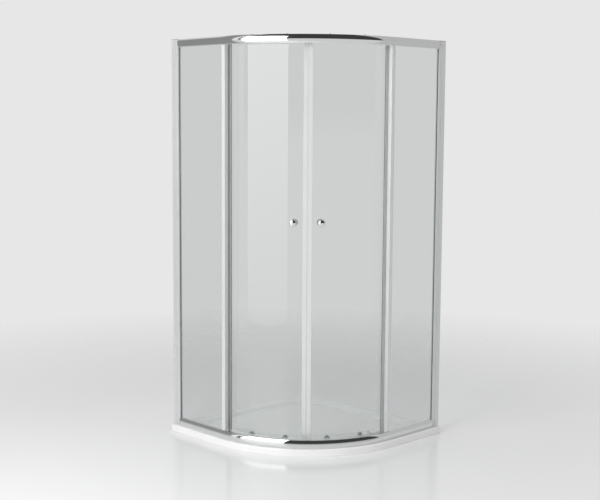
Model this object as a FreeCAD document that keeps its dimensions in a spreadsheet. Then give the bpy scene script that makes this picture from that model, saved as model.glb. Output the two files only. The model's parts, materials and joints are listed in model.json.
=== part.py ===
"""Quadrant shower enclosure: two fixed panes, two curved sliding doors, bent rails and a low tray.

The room's walls are the planes x = -side/2 and y = +side/2, the floor is z = 0 and the doors meet
on the diagonal that points to +X and -Y. Every part is placed from the centre of the quadrant's
arc: a part turned to an angle has its own X axis pointing outwards through the glass there, and
its own Y axis along the glass. The left half mirrors the right half in that diagonal.
"""
import FreeCAD, Part
import math
import os
import Sketcher

doc = FreeCAD.newDocument("QuadrantEnclosure")
sheet = doc.addObject("Spreadsheet::Sheet", "Sizes")
nodes = {}


# ---------------------------------------------------------------- sizes that stay tied to the sheet

class Size:
    """A length or an angle: its value, and the sheet expression that gives it."""

    def __init__(self, value, text):
        self.value = float(value)
        self.text = text

    def __add__(self, other):
        other = as_size(other)
        return Size(self.value + other.value, f"({self.text} + {other.text})")

    def __sub__(self, other):
        other = as_size(other)
        return Size(self.value - other.value, f"({self.text} - {other.text})")

    def __mul__(self, other):
        other = as_size(other)
        return Size(self.value * other.value, f"({self.text} * {other.text})")

    def __truediv__(self, other):
        other = as_size(other)
        return Size(self.value / other.value, f"({self.text} / {other.text})")

    def __neg__(self):
        return self * -1

    def __radd__(self, other):
        return as_size(other) + self

    def __rsub__(self, other):
        return as_size(other) - self

    def __rmul__(self, other):
        return as_size(other) * self


def as_size(number):
    """A plain number as a Size."""
    return number if isinstance(number, Size) else Size(number, f"({number})")


def root(size):
    return Size(math.sqrt(size.value), f"sqrt({size.text})")


def cosine(angle):
    angle = as_size(angle)
    return Size(math.cos(math.radians(angle.value)), f"cos({angle.text})")


def sine(angle):
    angle = as_size(angle)
    return Size(math.sin(math.radians(angle.value)), f"sin({angle.text})")


def arc_angle(length, arc_radius):
    """The angle in degrees that a length along an arc takes up."""
    return length * 180 / (arc_radius * Size(math.pi, "pi"))


def dimension(alias, value, meaning):
    """Write one driving dimension to the next row of the sheet."""
    row = dimension.rows = getattr(dimension, "rows", 0) + 1
    sheet.set(f"A{row}", meaning)
    sheet.set(f"B{row}", str(value))
    sheet.setAlias(f"B{row}", alias)
    return Size(value, f"Sizes.{alias}")


# overall
side = dimension("side", 900, "tray side along each wall")
radius = dimension("radius", 550, "radius of the tray's quadrant")
tray_height = dimension("tray_height", 32, "floor to the tray's rim")
enclosure_height = dimension("enclosure_height", 1800, "rim to the top of the enclosure")
ledge = dimension("ledge", 10, "tray's edge to the crown of the rails")
pane = dimension("pane", 5, "thickness of the glass")

# tray
wall_rim = dimension("wall_rim", 42, "rim of the tray along the walls")
front_rim = dimension("front_rim", 66, "rim of the tray under the rails")
basin_depth = dimension("basin_depth", 15, "rim to the basin's floor")
basin_slope = dimension("basin_slope", 30, "width of the basin's sloping sides")
basin_back_round = dimension("basin_back_round", 205, "basin's corner radius in the room's corner")
basin_end_round = dimension("basin_end_round", 70, "basin's corner radius at the panel ends")
tray_round = dimension("tray_round", 6, "rounding of the tray's outer edge")
drain_off_side = dimension("drain_off_side", 164, "drain's centre from the right panel's side")
drain_off_back = dimension("drain_off_back", 241, "drain's centre from the right panel's wall")
drain_bore = dimension("drain_bore", 45, "radius of the waste hole")
drain_seat = dimension("drain_seat", 61, "radius of the recess for the drain ring")
seat_depth = dimension("seat_depth", 5, "depth of the recess for the drain ring")
cover_radius = dimension("cover_radius", 56, "radius of the drain cover")
cover_rise = dimension("cover_rise", 8, "height of the drain cover's dome")
cover_sheet = dimension("cover_sheet", 1.6, "thickness of the drain cover")
drain_slot = dimension("drain_slot", 3, "basin's floor to the drain cover's edge")
stem_radius = dimension("stem_radius", 6, "radius of the drain cover's stem")
stem_clear = dimension("stem_clear", 0.5, "drain cover's stem to its socket")
ring_overlap = dimension("ring_overlap", 6, "drain ring past the waste hole")
ring_height = dimension("ring_height", 3, "height of the drain ring")
ring_bead = dimension("ring_bead", 1.2, "bead of the drain ring")
ring_clear = dimension("ring_clear", 0.5, "drain ring to its recess")
cross_width = dimension("cross_width", 8, "arms of the drain ring's cross")

# rails
rail_height = dimension("rail_height", 37, "height of the rail section")
rail_crown = dimension("rail_crown", 6, "bulge of the rail's outer face")
rail_wall = dimension("rail_wall", 1.6, "wall of the rail section")
chamber = dimension("chamber", 9, "crown to the web behind it")
glazing_gap = dimension("glazing_gap", 7, "width of the rail's groove for the fixed glass")
glazing_depth = dimension("glazing_depth", 18, "depth of the rail's groove for the fixed glass")
track_width = dimension("track_width", 16.5, "clear width of the roller track")
track_rise = dimension("track_rise", 7, "rail's open edge to the track")
track_lip = dimension("track_lip", 4, "height of the lip that keeps the wheels in")
end_plate = dimension("end_plate", 2, "thickness of the plates between the rails and the jambs")
plug_length = dimension("plug_length", 14, "end plate's plug in the rail's chamber")
buffer_place = dimension("buffer_place", 116, "start of the bend to the doors' buffers")
buffer_length = dimension("buffer_length", 12, "length of the buffers")

# wall profiles and fixed panes
channel_width = dimension("channel_width", 22, "wall channel across the glass")
channel_depth = dimension("channel_depth", 26, "wall channel out from the wall")
channel_wall = dimension("channel_wall", 1.6, "wall of the wall channel")
jamb_width = dimension("jamb_width", 18.4, "jamb across the glass")
jamb_reach = dimension("jamb_reach", 43, "wall to the jamb's free edge")
jamb_start = dimension("jamb_start", 13, "wall to the jamb's hidden edge")
jamb_wall = dimension("jamb_wall", 1.6, "wall of the jamb")
glass_grip = dimension("glass_grip", 12, "depth of the grooves that hold the glass")
fixing_hole = dimension("fixing_hole", 2.5, "radius of the wall fixing holes")
fixing_end = dimension("fixing_end", 150, "end of the wall channel to its outer holes")
cap_height = dimension("cap_height", 2, "thickness of the cap on a wall profile")
post_length = dimension("post_length", 22, "fixed pane's end post along the glass")
post_width = dimension("post_width", 10, "fixed pane's end post across the glass")
post_overrun = dimension("post_overrun", 14, "end post past the start of the bend")
post_flange = dimension("post_flange", 8, "depth of the end post's splash flange")
gasket = dimension("gasket", 1, "thickness of the glazing gasket")
slot_clear = dimension("slot_clear", 0.3, "glass to the profile slots that grip it")
web = dimension("web", 1.6, "walls and flanges of the posts and door profiles")
flute_width = dimension("flute_width", 1.4, "width of the fine grooves in the profiles")
flute_depth = dimension("flute_depth", 0.7, "depth of the fine grooves in the profiles")
screw_radius = dimension("screw_radius", 2, "radius of the frame and guide screws")
screw_head = dimension("screw_head", 3.6, "radius of the screw heads")
head_height = dimension("head_height", 2.2, "height of the screw heads")
drill_clear = dimension("drill_clear", 0.2, "screws and bosses to their holes")
first_screw = dimension("first_screw", 300, "ends of the jamb to its outer screws")
screw_inset = dimension("screw_inset", 7.5, "mouth of the wall channel to the frame screws")
screw_tip = dimension("screw_tip", 7.2, "wall channel's face to the tip of a frame screw")

# doors
door_gap = dimension("door_gap", 9.6, "rail's lip to the door glass")
door_top = dimension("door_top", 11, "top roller's axle to the glass's upper edge")
door_foot = dimension("door_foot", 9, "bottom rail's upper edge to the glass's lower edge")
seat_clear = dimension("seat_clear", 0.3, "flat fittings to the curved glass")
stile_width = dimension("stile_width", 9, "door edge profiles across the glass")
lead_width = dimension("lead_width", 17, "meeting profile along the glass")
trail_width = dimension("trail_width", 20, "trailing profile along the glass")
trail_overrun = dimension("trail_overrun", 8, "trailing profile past the start of the bend")
meeting_gap = dimension("meeting_gap", 0.4, "clearance between the closed doors' magnet strips")
magnet_stand = dimension("magnet_stand", 2.2, "magnet strip proud of its profile")
lead_roller = dimension("lead_roller", 11, "angle from the meeting line to the first roller")
trail_roller = dimension("trail_roller", 30, "angle from the meeting line to the second roller")

# rollers and guides
wheel_radius = dimension("wheel_radius", 9.5, "radius of the rollers")
wheel_width = dimension("wheel_width", 6, "width of the rollers")
wheel_edge = dimension("wheel_edge", 0.8, "chamfer of the rollers' edges")
wheel_float = dimension("wheel_float", 1.8, "rail's lip to the side of a closed door's wheel")
track_clear = dimension("track_clear", 0.3, "wheel to the track")
axle_radius = dimension("axle_radius", 2.5, "radius of the roller axles")
axle_head = dimension("axle_head", 3.5, "radius of the collars that keep the rollers on")
running_fit = dimension("running_fit", 0.05, "clearance of a wheel on its axle")
hanger_plate = dimension("hanger_plate", 4.5, "thickness of the top hangers")
hanger_rise = dimension("hanger_rise", 25, "axle to the top of a hanger")
hanger_width = dimension("hanger_width", 26, "width of the hangers and guide housings")
guide_depth = dimension("guide_depth", 9, "guide housing across the glass")
guide_height = dimension("guide_height", 19, "height of the guide housing")
slide_clear = dimension("slide_clear", 0.3, "slider to its guide housing")
guide_slot = dimension("guide_slot", 11.4, "height of the slider's slot in the guide housing")
hanger_boss = dimension("hanger_boss", 4.6, "radius of the hanger's boss")
hanger_foot = dimension("hanger_foot", 12, "axle to the lower edge of a hanger")
apex_width = dimension("apex_width", 8, "width of the hangers and housings at their top")
corner_round = dimension("corner_round", 3, "rounding of the hangers' and housings' corners")
bolt_head = dimension("bolt_head", 5.5, "radius of the roller bolts' heads")
slider_width = dimension("slider_width", 10, "width of the quick-release slider")
slider_depth = dimension("slider_depth", 4, "quick-release slider across the glass")
slider_tab = dimension("slider_tab", 7, "reach of the slider's finger tab")
drip_wall = dimension("drip_wall", 1.1, "thickness of the drip seal")
drip_leg = dimension("drip_leg", 8, "height of the drip seal on the glass")
drip_fin = dimension("drip_fin", 3.5, "drop of the drip seal below the glass")

# knobs
knob_angle = dimension("knob_angle", 7, "angle from the meeting line to the knobs")
knob_level = dimension("knob_level", 995, "tray's rim to the knobs")
knob_radius = dimension("knob_radius", 16, "radius of the knobs")
knob_reach = dimension("knob_reach", 29, "glass to the front of a knob")
knob_neck = dimension("knob_neck", 8, "radius of a knob's neck")
knob_bore = dimension("knob_bore", 13, "depth of a knob's bore, and length of its neck")
knob_dome = dimension("knob_dome", 5, "height of a knob's domed face")
stud_radius = dimension("stud_radius", 3, "radius of the stud that joins two knobs")
washer = dimension("washer", 0.8, "thickness of the washers under the knobs")

# ------------------------------------------------------------------------------ worked-out places

MEETING_ANGLE = -45
straight = side - radius
centre_x = straight - side / 2
centre_y = side / 2 - straight
top = tray_height + enclosure_height
rail_radius = radius - ledge
top_rail_level = top - rail_height
bottom_rail_top = tray_height + rail_height
rail_end = straight - jamb_reach

groove_in = chamber + rail_wall
groove_out = groove_in + glazing_gap
track_in = groove_out + rail_wall
track_out = track_in + track_width
rail_depth = track_out + rail_wall
fixed_radius = rail_radius - groove_in - glazing_gap / 2
wheel_line = rail_radius - track_out + wheel_float + wheel_width / 2
door_outside = rail_radius - rail_depth - door_gap
door_radius = door_outside - pane / 2
door_inside = door_outside - pane
outer_seat = door_outside + seat_clear
inner_seat = door_inside - seat_clear

axle_rise = track_rise + rail_wall + track_clear + wheel_radius
top_axle = top_rail_level + axle_rise
bottom_axle = bottom_rail_top - axle_rise
door_glass_top = top_axle + door_top
door_glass_foot = bottom_rail_top - door_foot
knob_height = tray_height + knob_level


class Half:
    """One half of the enclosure: the sense of its Y axis and the turn of its straight side."""

    def __init__(self, name, way):
        self.name = name
        self.way = way
        self.turn = MEETING_ANGLE + 45 * way

    def angle(self, from_meeting):
        """The turn of a part that lies this many degrees from the meeting line."""
        return MEETING_ANGLE + from_meeting * self.way


halves = (Half("left", -1), Half("right", 1))


# -------------------------------------------------------------------------------- modelling helpers

def bind(thing, path, size):
    """Tie one property of an object to the sheet."""
    thing.setExpression(path, as_size(size).text)


def body_at(name, turn=0, level=0, x=centre_x, y=centre_y):
    """A new body whose own origin is the arc's centre, turned about the upright axis."""
    body = doc.addObject("PartDesign::Body", name)
    upright = FreeCAD.Vector(0, 0, 1)
    body.Placement = FreeCAD.Placement(FreeCAD.Vector(), FreeCAD.Rotation(upright, 1))
    bind(body, "Placement.Base.x", x)
    bind(body, "Placement.Base.y", y)
    bind(body, "Placement.Base.z", level)
    bind(body, "Placement.Rotation.Angle", turn)
    return body


def keep(name, thing):
    """Give a finished sub-part its label and list it for writing."""
    thing.Label = name
    nodes[name] = thing
    return thing


def sketch_on(body, plane, offset=0):
    """A sketch on one of the body's own planes, moved along that plane's normal."""
    sketch = body.newObject("Sketcher::SketchObject", body.Name + "Sketch")
    support = next(item for item in body.Origin.OriginFeatures if item.Role == plane + "_Plane")
    sketch.AttachmentSupport = (support, [""])
    sketch.MapMode = "FlatFace"
    bind(sketch, "AttachmentOffset.Base.z", offset)
    return sketch


def constrain(sketch, kind, places, size):
    """Add one dimension to a sketch and tie it to the sheet."""
    size = as_size(size)
    index = sketch.addConstraint(Sketcher.Constraint(kind, *places, size.value))
    bind(sketch, f"Constraints[{index}]", size)


def closed_outline(sketch, corners):
    """A closed outline through (x, y) corners. A third entry bends the edge that leaves the corner
    to that radius: its centre lies to the left of the edge, or to the right if it is negative."""
    corners = [tuple(as_size(entry) for entry in corner) for corner in corners]
    first = len(sketch.Geometry)
    starts = []
    for corner, following in zip(corners, corners[1:] + corners[:1]):
        begin = FreeCAD.Vector(corner[0].value, corner[1].value, 0)
        end = FreeCAD.Vector(following[0].value, following[1].value, 0)
        if len(corner) == 2:
            sketch.addGeometry(Part.LineSegment(begin, end), False)
            starts.append(1)
            continue
        bend = corner[2].value
        along = (end - begin).normalize()
        to_left = FreeCAD.Vector(-along.y, along.x, 0)
        half_chord = (end - begin).Length / 2
        depth = math.sqrt(max(bend * bend - half_chord * half_chord, 0))
        middle = (begin + end) * 0.5 + to_left * math.copysign(depth, bend)
        low, high = (begin, end) if bend > 0 else (end, begin)
        from_angle = math.atan2(low.y - middle.y, low.x - middle.x)
        to_angle = math.atan2(high.y - middle.y, high.x - middle.x)
        if to_angle < from_angle:
            to_angle += 2 * math.pi
        circle = Part.Circle(middle, FreeCAD.Vector(0, 0, 1), abs(bend))
        sketch.addGeometry(Part.ArcOfCircle(circle, from_angle, to_angle), False)
        starts.append(1 if bend > 0 else 2)
    count = len(corners)
    for number, corner in enumerate(corners):
        here = first + number
        before = first + (number - 1) % count
        end_of_before = 3 - starts[(number - 1) % count]
        sketch.addConstraint(Sketcher.Constraint("Coincident", before, end_of_before,
                                                 here, starts[number]))
        constrain(sketch, "DistanceX", (-1, 1, here, starts[number]), corner[0])
        constrain(sketch, "DistanceY", (-1, 1, here, starts[number]), corner[1])
        if len(corner) == 3:
            bend = corner[2] if corner[2].value > 0 else -corner[2]
            constrain(sketch, "Radius", (here,), bend)


def rectangle(sketch, low_x, low_y, high_x, high_y):
    closed_outline(sketch, [(low_x, low_y), (high_x, low_y), (high_x, high_y), (low_x, high_y)])


def round_hole(sketch, x, y, hole_radius):
    place = FreeCAD.Vector(as_size(x).value, as_size(y).value, 0)
    circle = Part.Circle(place, FreeCAD.Vector(0, 0, 1), as_size(hole_radius).value)
    index = sketch.addGeometry(circle, False)
    constrain(sketch, "DistanceX", (-1, 1, index, 3), x)
    constrain(sketch, "DistanceY", (-1, 1, index, 3), y)
    constrain(sketch, "Radius", (index,), hole_radius)


def mirrored(corners, way):
    """Outline corners with their y turned to one half of the enclosure."""
    turned = []
    for corner in corners:
        entries = [corner[0], corner[1] * way]
        if len(corner) == 3:
            entries.append(corner[2] * way)
        turned.append(tuple(entries))
    return turned


def feature(body, kind, profile):
    added = body.newObject("PartDesign::" + kind, body.Name + kind)
    added.Profile = profile
    return added


def pad(body, profile, length, both_ways=False):
    added = feature(body, "Pad", profile)
    bind(added, "Length", length)
    added.Midplane = both_ways
    doc.recompute()
    return added


def pocket(body, profile, length=None, reverse=False):
    """Cut a sketch out of the body, right through it if no length is given."""
    added = feature(body, "Pocket", profile)
    before = body.Shape.Volume
    added.Reversed = reverse
    if length is None:
        added.Type = "ThroughAll"
        added.Midplane = True
    else:
        bind(added, "Length", length)
    doc.recompute()
    if not added.Shape.Volume < before - 1e-6:
        raise RuntimeError(f"{added.Name} cuts nothing")
    return added


def revolve(body, sketch, axis, angle=360, both_ways=False):
    added = feature(body, "Revolution", sketch)
    added.ReferenceAxis = (sketch, [axis])
    added.Midplane = both_ways
    bind(added, "Angle", angle)
    doc.recompute()
    return added


def dress(body, kind, amount, picks):
    """Fillet or chamfer the edges of the body's last feature that the test picks."""
    base = body.Tip
    names = [f"Edge{number}" for number, edge in enumerate(base.Shape.Edges, start=1) if picks(edge)]
    if not names:
        raise RuntimeError(f"no edge of {body.Name} to dress")
    added = body.newObject("PartDesign::" + kind, body.Name + kind)
    added.Base = (base, names)
    bind(added, "Radius" if kind == "Fillet" else "Size", amount)
    doc.recompute()
    return added


def runs_along(edge, direction):
    """Whether an edge is straight and parallel to a direction."""
    if not isinstance(edge.Curve, Part.Line):
        return False
    return abs(abs(edge.Curve.Direction.dot(direction)) - 1) < 1e-6


def extrusion(name, turn, level, length, *outlines):
    """An upright extrusion of one or more closed outlines; the later ones are its hollows."""
    body = body_at(name, turn, level)
    sketch = sketch_on(body, "XY")
    for corners in outlines:
        closed_outline(sketch, corners)
    pad(body, sketch, length)
    return body


def turned(name, turn, level, corners, along=0):
    """A turned part whose axis points outwards: corners are (distance outwards, radius)."""
    body = body_at(name, turn, level)
    sketch = sketch_on(body, "XZ", along * -1)
    closed_outline(sketch, corners)
    revolve(body, sketch, "H_Axis")
    return body


def group(name, members):
    """Separate pieces that share one name."""
    added = doc.addObject("Part::Compound", name)
    added.Links = members
    doc.recompute()
    return added


def drilled(name, body, drills):
    """A body with round holes through it."""
    added = doc.addObject("Part::Cut", name)
    added.Base = body
    added.Tool = group(name + "Drills", drills)
    added.Refine = True
    doc.recompute()
    return added


X_WAY = FreeCAD.Vector(1, 0, 0)


# --------------------------------------------------------------------------------- tray and drain

def quadrant(wall_inset, front_inset, back_round=None, end_round=None):
    """The tray's outline, drawn in by one amount at the walls and another under the rails."""
    wall = straight - wall_inset
    arc = radius - front_inset
    if back_round is None:
        return [(-wall, -arc), (0, -arc, arc), (arc, 0), (arc, wall), (-wall, wall)]
    return [
        (-wall + end_round, -arc),
        (0, -arc, arc),
        (arc, 0),
        (arc, wall - end_round, end_round),
        (arc - end_round, wall),
        (-wall + back_round, wall, back_round),
        (-wall, wall - back_round),
        (-wall, -arc + end_round, end_round),
    ]


def shower_tray():
    body = body_at("shower_tray")
    outline = sketch_on(body, "XY")
    closed_outline(outline, quadrant(Size(0, "0"), Size(0, "0")))
    pad(body, outline, tray_height)
    top_level = tray_height.value

    def on_front_rim(edge):
        ends = [vertex.Point for vertex in edge.Vertexes]
        if any(abs(point.z - top_level) > 1e-6 for point in ends):
            return False
        middle = edge.valueAt((edge.FirstParameter + edge.LastParameter) / 2)
        reach = max(middle.x, -middle.y, math.hypot(middle.x, middle.y))
        return middle.x > -straight.value + 1 and middle.y < straight.value - 1 and reach > radius.value - 1

    dress(body, "Fillet", tray_round, on_front_rim)

    rim = sketch_on(body, "XY", tray_height)
    closed_outline(rim, quadrant(wall_rim, front_rim, basin_back_round, basin_end_round))
    floor = sketch_on(body, "XY", tray_height - basin_depth)
    closed_outline(floor, quadrant(wall_rim + basin_slope, front_rim + basin_slope,
                                   basin_back_round - basin_slope, basin_end_round - basin_slope))
    basin = feature(body, "SubtractiveLoft", rim)
    basin.Sections = [floor]
    basin.Ruled = True
    doc.recompute()

    seat = sketch_on(body, "XY", tray_height - basin_depth)
    round_hole(seat, radius - drain_off_side, straight - drain_off_back, drain_seat)
    pocket(body, seat, seat_depth)
    waste = sketch_on(body, "XY")
    round_hole(waste, radius - drain_off_side, straight - drain_off_back, drain_bore)
    pocket(body, waste)
    keep("shower_tray", body)


drain_x = centre_x + radius - drain_off_side
drain_y = centre_y + straight - drain_off_back
seat_level = tray_height - basin_depth - seat_depth
cover_level = tray_height - basin_depth + drain_slot


def drain_ring():
    """The flanged ring in the tray's recess, with a cross that holds the socket for the cover."""
    body = body_at("drain_ring", 0, seat_level, drain_x, drain_y)
    sketch = sketch_on(body, "XZ")
    bore = drain_bore - ring_overlap
    brim = drain_seat - ring_clear
    closed_outline(sketch, [
        (bore, 0),
        (brim, 0),
        (brim, ring_height),
        (brim - ring_height, ring_height + ring_bead),
        (bore + 2 * ring_height, ring_height + ring_bead),
        (bore + ring_height, ring_height),
        (bore, ring_height),
    ])
    revolve(body, sketch, "V_Axis")
    reach = bore + 1
    for half_x, half_y in ((reach, cross_width / 2), (cross_width / 2, reach)):
        arm = sketch_on(body, "XY")
        rectangle(arm, -half_x, -half_y, half_x, half_y)
        pad(body, arm, ring_height)
    socket = sketch_on(body, "XY")
    round_hole(socket, 0, 0, stem_radius + cross_width / 2)
    pad(body, socket, ring_height)
    hole = sketch_on(body, "XY")
    round_hole(hole, 0, 0, stem_radius + stem_clear)
    pocket(body, hole)
    keep("drain_ring", body)


def drain_cover():
    """The domed cover: water runs in under its edge, and its stem stands in the ring's socket."""
    body = body_at("drain_cover", 0, cover_level, drain_x, drain_y)
    sketch = sketch_on(body, "XZ")
    dome = (cover_radius * cover_radius + cover_rise * cover_rise) / (2 * cover_rise)
    shoulder = seat_level + ring_height + track_clear - cover_level
    collar = stem_radius + 2 * stem_clear
    closed_outline(sketch, [
        (0, seat_level + stem_clear - cover_level),
        (stem_radius, seat_level + stem_clear - cover_level),
        (stem_radius, shoulder),
        (collar, shoulder),
        (collar, cover_rise - 2 * cover_sheet),
        (cover_radius - cover_sheet, 0),
        (cover_radius, 0, dome),
        (0, cover_rise),
    ])
    revolve(body, sketch, "V_Axis")
    keep("drain_cover", body)


# ------------------------------------------------------------------------------------------ rails

def crown_bend(level_of):
    """The radius that bends the rail's outer face, negative where the section is upside down."""
    bend = (rail_height * rail_height / 4 + rail_crown * rail_crown) / (2 * rail_crown)
    upright = level_of(rail_height).value > level_of(as_size(0)).value
    return bend if upright else -bend


def rail_section(level_of):
    """The rail's outline and its two closed hollows, from the crown inwards. level_of turns a
    height above the open edge of the top rail into this rail's own level."""
    floor = track_rise + rail_wall
    ceiling = rail_height - rail_wall
    box_floor = glazing_depth + rail_wall
    hollow_edge = rail_crown + rail_wall

    def at(inwards, height, bend=None):
        place = (rail_radius - inwards, level_of(as_size(height)))
        return place if bend is None else place + (bend,)

    outline = [
        at(rail_crown, 0, crown_bend(level_of)),
        at(rail_crown, rail_height),
        at(track_in, rail_height),
        at(track_in, floor),
        at(track_out, floor),
        at(track_out, floor + track_lip),
        at(rail_depth, floor + track_lip),
        at(rail_depth, track_rise),
        at(track_in, track_rise),
        at(track_in, rail_wall),
        at(groove_out, rail_wall),
        at(groove_out, glazing_depth),
        at(groove_in, glazing_depth),
        at(groove_in, 0),
    ]
    front_hollow = [
        at(hollow_edge, rail_wall),
        at(rail_wall, rail_height / 2),
        at(hollow_edge, ceiling),
        at(chamber, ceiling),
        at(chamber, rail_wall),
    ]
    box_hollow = [
        at(groove_in, box_floor),
        at(groove_in, ceiling),
        at(groove_out, ceiling),
        at(groove_out, box_floor),
    ]
    return outline, front_hollow, box_hollow


def rail(name, level, level_of):
    """One section bent through the quadrant, with a straight run from each end face to its wall."""
    body = body_at(name, MEETING_ANGLE, level)
    sketch = sketch_on(body, "XZ")
    for corners in rail_section(level_of):
        closed_outline(sketch, corners)
    bend = revolve(body, sketch, "V_Axis", 90, both_ways=True)
    for way in (-1, 1):
        outward = FreeCAD.Vector(-math.sqrt(0.5), way * math.sqrt(0.5), 0)
        number = next(index for index, face in enumerate(bend.Shape.Faces, start=1)
                      if isinstance(face.Surface, Part.Plane)
                      and face.normalAt(0, 0).dot(outward) > 0.999)
        pad(body, (bend, [f"Face{number}"]), rail_end - end_plate)
    keep(name, body)


def top_rail():
    rail("top_rail", top_rail_level, lambda height: height)


def bottom_rail():
    rail("bottom_rail", tray_height, lambda height: rail_height - height)


def rail_end_plates(name, level, level_of):
    """Plastic plates that close the rail's ends, each with a plug in the rail's front chamber."""
    plates = []
    for half in halves:
        body = body_at(f"{half.name}_{name}", half.turn, level)
        sketch = sketch_on(body, "XZ", -half.way * (rail_end - end_plate / 2))
        closed_outline(sketch, [
            (rail_radius - rail_crown, level_of(as_size(0)), crown_bend(level_of)),
            (rail_radius - rail_crown, level_of(rail_height)),
            (rail_radius - rail_depth, level_of(rail_height)),
            (rail_radius - rail_depth, level_of(track_rise)),
            (rail_radius - track_in, level_of(track_rise)),
            (rail_radius - track_in, level_of(rail_wall)),
            (rail_radius - groove_out, level_of(rail_wall)),
            (rail_radius - groove_out, level_of(glazing_depth)),
            (rail_radius - groove_in, level_of(glazing_depth)),
            (rail_radius - groove_in, level_of(as_size(0))),
        ])
        pad(body, sketch, end_plate, both_ways=True)
        plug = sketch_on(body, "XZ", -half.way * (rail_end - end_plate - plug_length / 2 + drill_clear))
        rectangle(plug, rail_radius - chamber + drill_clear, level_of(rail_height / 4),
                  rail_radius - rail_crown, level_of(rail_height * 3 / 4))
        pad(body, plug, plug_length + drill_clear * 2, both_ways=True)
        plates.append(body)
    keep(name, group(name, plates))


def door_buffers():
    """Rubber blocks in the top rail's track that stop the open doors' outer wheels."""
    blocks = []
    for half in halves:
        body = body_at(f"{half.name}_buffer", half.turn, top_rail_level + track_rise + rail_wall)
        sketch = sketch_on(body, "XY")
        near = buffer_place * half.way
        far = (buffer_place + buffer_length) * half.way
        rectangle(sketch, rail_radius - track_out + slot_clear, near,
                  rail_radius - track_in - slot_clear, far)
        pad(body, sketch, wheel_radius)
        blocks.append(body)
    keep("door_buffers", group("door_buffers", blocks))


# ------------------------------------------------------------------- wall profiles and fixed panes

pane_front = fixed_radius + pane / 2
pane_back = fixed_radius - pane / 2
slot_half = pane / 2 + slot_clear
profile_length = enclosure_height - cap_height
clear_height = top_rail_level - bottom_rail_top
jamb_screw_place = straight - channel_depth + screw_inset


def fluted(face, begin, finish, count, sink):
    """Corners along an outline's face from begin to finish, with evenly spaced fine grooves. A
    positive sink cuts them towards +X."""
    step = (finish - begin) / (count + 1)
    heading = 1 if (finish - begin).value > 0 else -1
    half_groove = flute_width / 2 * heading
    corners = [(face, begin)]
    for number in range(1, count + 1):
        middle = begin + step * number
        corners.append((face, middle - half_groove))
        corners.append((face + flute_depth * sink, middle - half_groove))
        corners.append((face + flute_depth * sink, middle + half_groove))
        corners.append((face, middle + half_groove))
    corners.append((face, finish))
    return corners


screw_levels = (first_screw, profile_length / 2, profile_length - first_screw)
channel_inside = fixed_radius - channel_width / 2


def jamb_drills(half, name):
    """Drills through the inner side of the wall channel and jamb, where the frame screws go."""
    begin = channel_inside - drill_clear
    finish = channel_inside + screw_tip
    bit = screw_radius + drill_clear
    return [turned(f"{half.name}_{name}_{number}", half.turn, tray_height + level, [
        (begin, 0), (finish, 0), (finish, bit), (begin, bit),
    ], jamb_screw_place * half.way) for number, level in enumerate(screw_levels)]


def frame_screws():
    """Screws that hold each jamb in its wall channel, put in from inside."""
    screws = [turned(f"{half.name}_frame_screw_{number}", half.turn, tray_height + level, [
        (channel_inside - head_height, 0), (channel_inside + screw_tip, 0),
        (channel_inside + screw_tip, screw_radius), (channel_inside, screw_radius),
        (channel_inside, screw_head), (channel_inside - head_height, screw_radius),
    ], jamb_screw_place * half.way) for half in halves for number, level in enumerate(screw_levels)]
    keep("frame_screws", group("frame_screws", screws))


def wall_channel(half):
    """The channel screwed to the wall, open towards the glass, with fine grooves on its front."""
    name = f"{half.name}_wall_channel"
    front = fixed_radius + channel_width / 2
    back = fixed_radius - channel_width / 2
    mouth = straight - channel_depth
    corners = [
        (back, straight),
        (back, mouth),
        (back + channel_wall, mouth),
        (back + channel_wall, straight - channel_wall),
        (front - channel_wall, straight - channel_wall),
        (front - channel_wall, mouth),
    ] + fluted(front, mouth, straight, 2, -1)
    body = extrusion(name + "_body", half.turn, tray_height, profile_length,
                     mirrored(corners, half.way))
    holes = sketch_on(body, "XZ")
    spread = (profile_length - 2 * fixing_end) / 2
    for number in range(3):
        round_hole(holes, fixed_radius, fixing_end + spread * number, fixing_hole)
    pocket(body, holes)
    keep(name, drilled(name, body, jamb_drills(half, "channel_drill")))


def jamb(half):
    """The profile that slides in the wall channel to take up uneven walls, and grips the glass."""
    name = f"{half.name}_jamb"
    front = fixed_radius + jamb_width / 2
    back = fixed_radius - jamb_width / 2
    slot = glazing_gap / 2
    edge = straight - jamb_reach
    hidden = straight - jamb_start
    corners = [
        (back, hidden),
        (back, edge),
        (fixed_radius - slot, edge),
        (fixed_radius - slot, edge + glass_grip),
        (fixed_radius + slot, edge + glass_grip),
        (fixed_radius + slot, edge),
    ] + fluted(front, edge, hidden, 3, -1)
    hollow = [
        (back + jamb_wall, edge + glass_grip + jamb_wall),
        (front - jamb_wall, edge + glass_grip + jamb_wall),
        (front - jamb_wall, hidden - jamb_wall),
        (back + jamb_wall, hidden - jamb_wall),
    ]
    body = extrusion(name + "_body", half.turn, tray_height, profile_length,
                     mirrored(corners, half.way), mirrored(hollow, half.way))
    keep(name, drilled(name, body, jamb_drills(half, "jamb_drill")))


def glazing_gasket(half):
    """The rubber channel between the glass and its jamb."""
    slot = glazing_gap / 2
    edge = straight - jamb_reach
    corners = [
        (fixed_radius - slot, edge),
        (pane_back, edge),
        (pane_back, edge + glass_grip - gasket),
        (pane_front, edge + glass_grip - gasket),
        (pane_front, edge),
        (fixed_radius + slot, edge),
        (fixed_radius + slot, edge + glass_grip),
        (fixed_radius - slot, edge + glass_grip),
    ]
    name = f"{half.name}_glazing_gasket"
    keep(name, extrusion(name, half.turn, bottom_rail_top, clear_height, mirrored(corners, half.way)))


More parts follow.
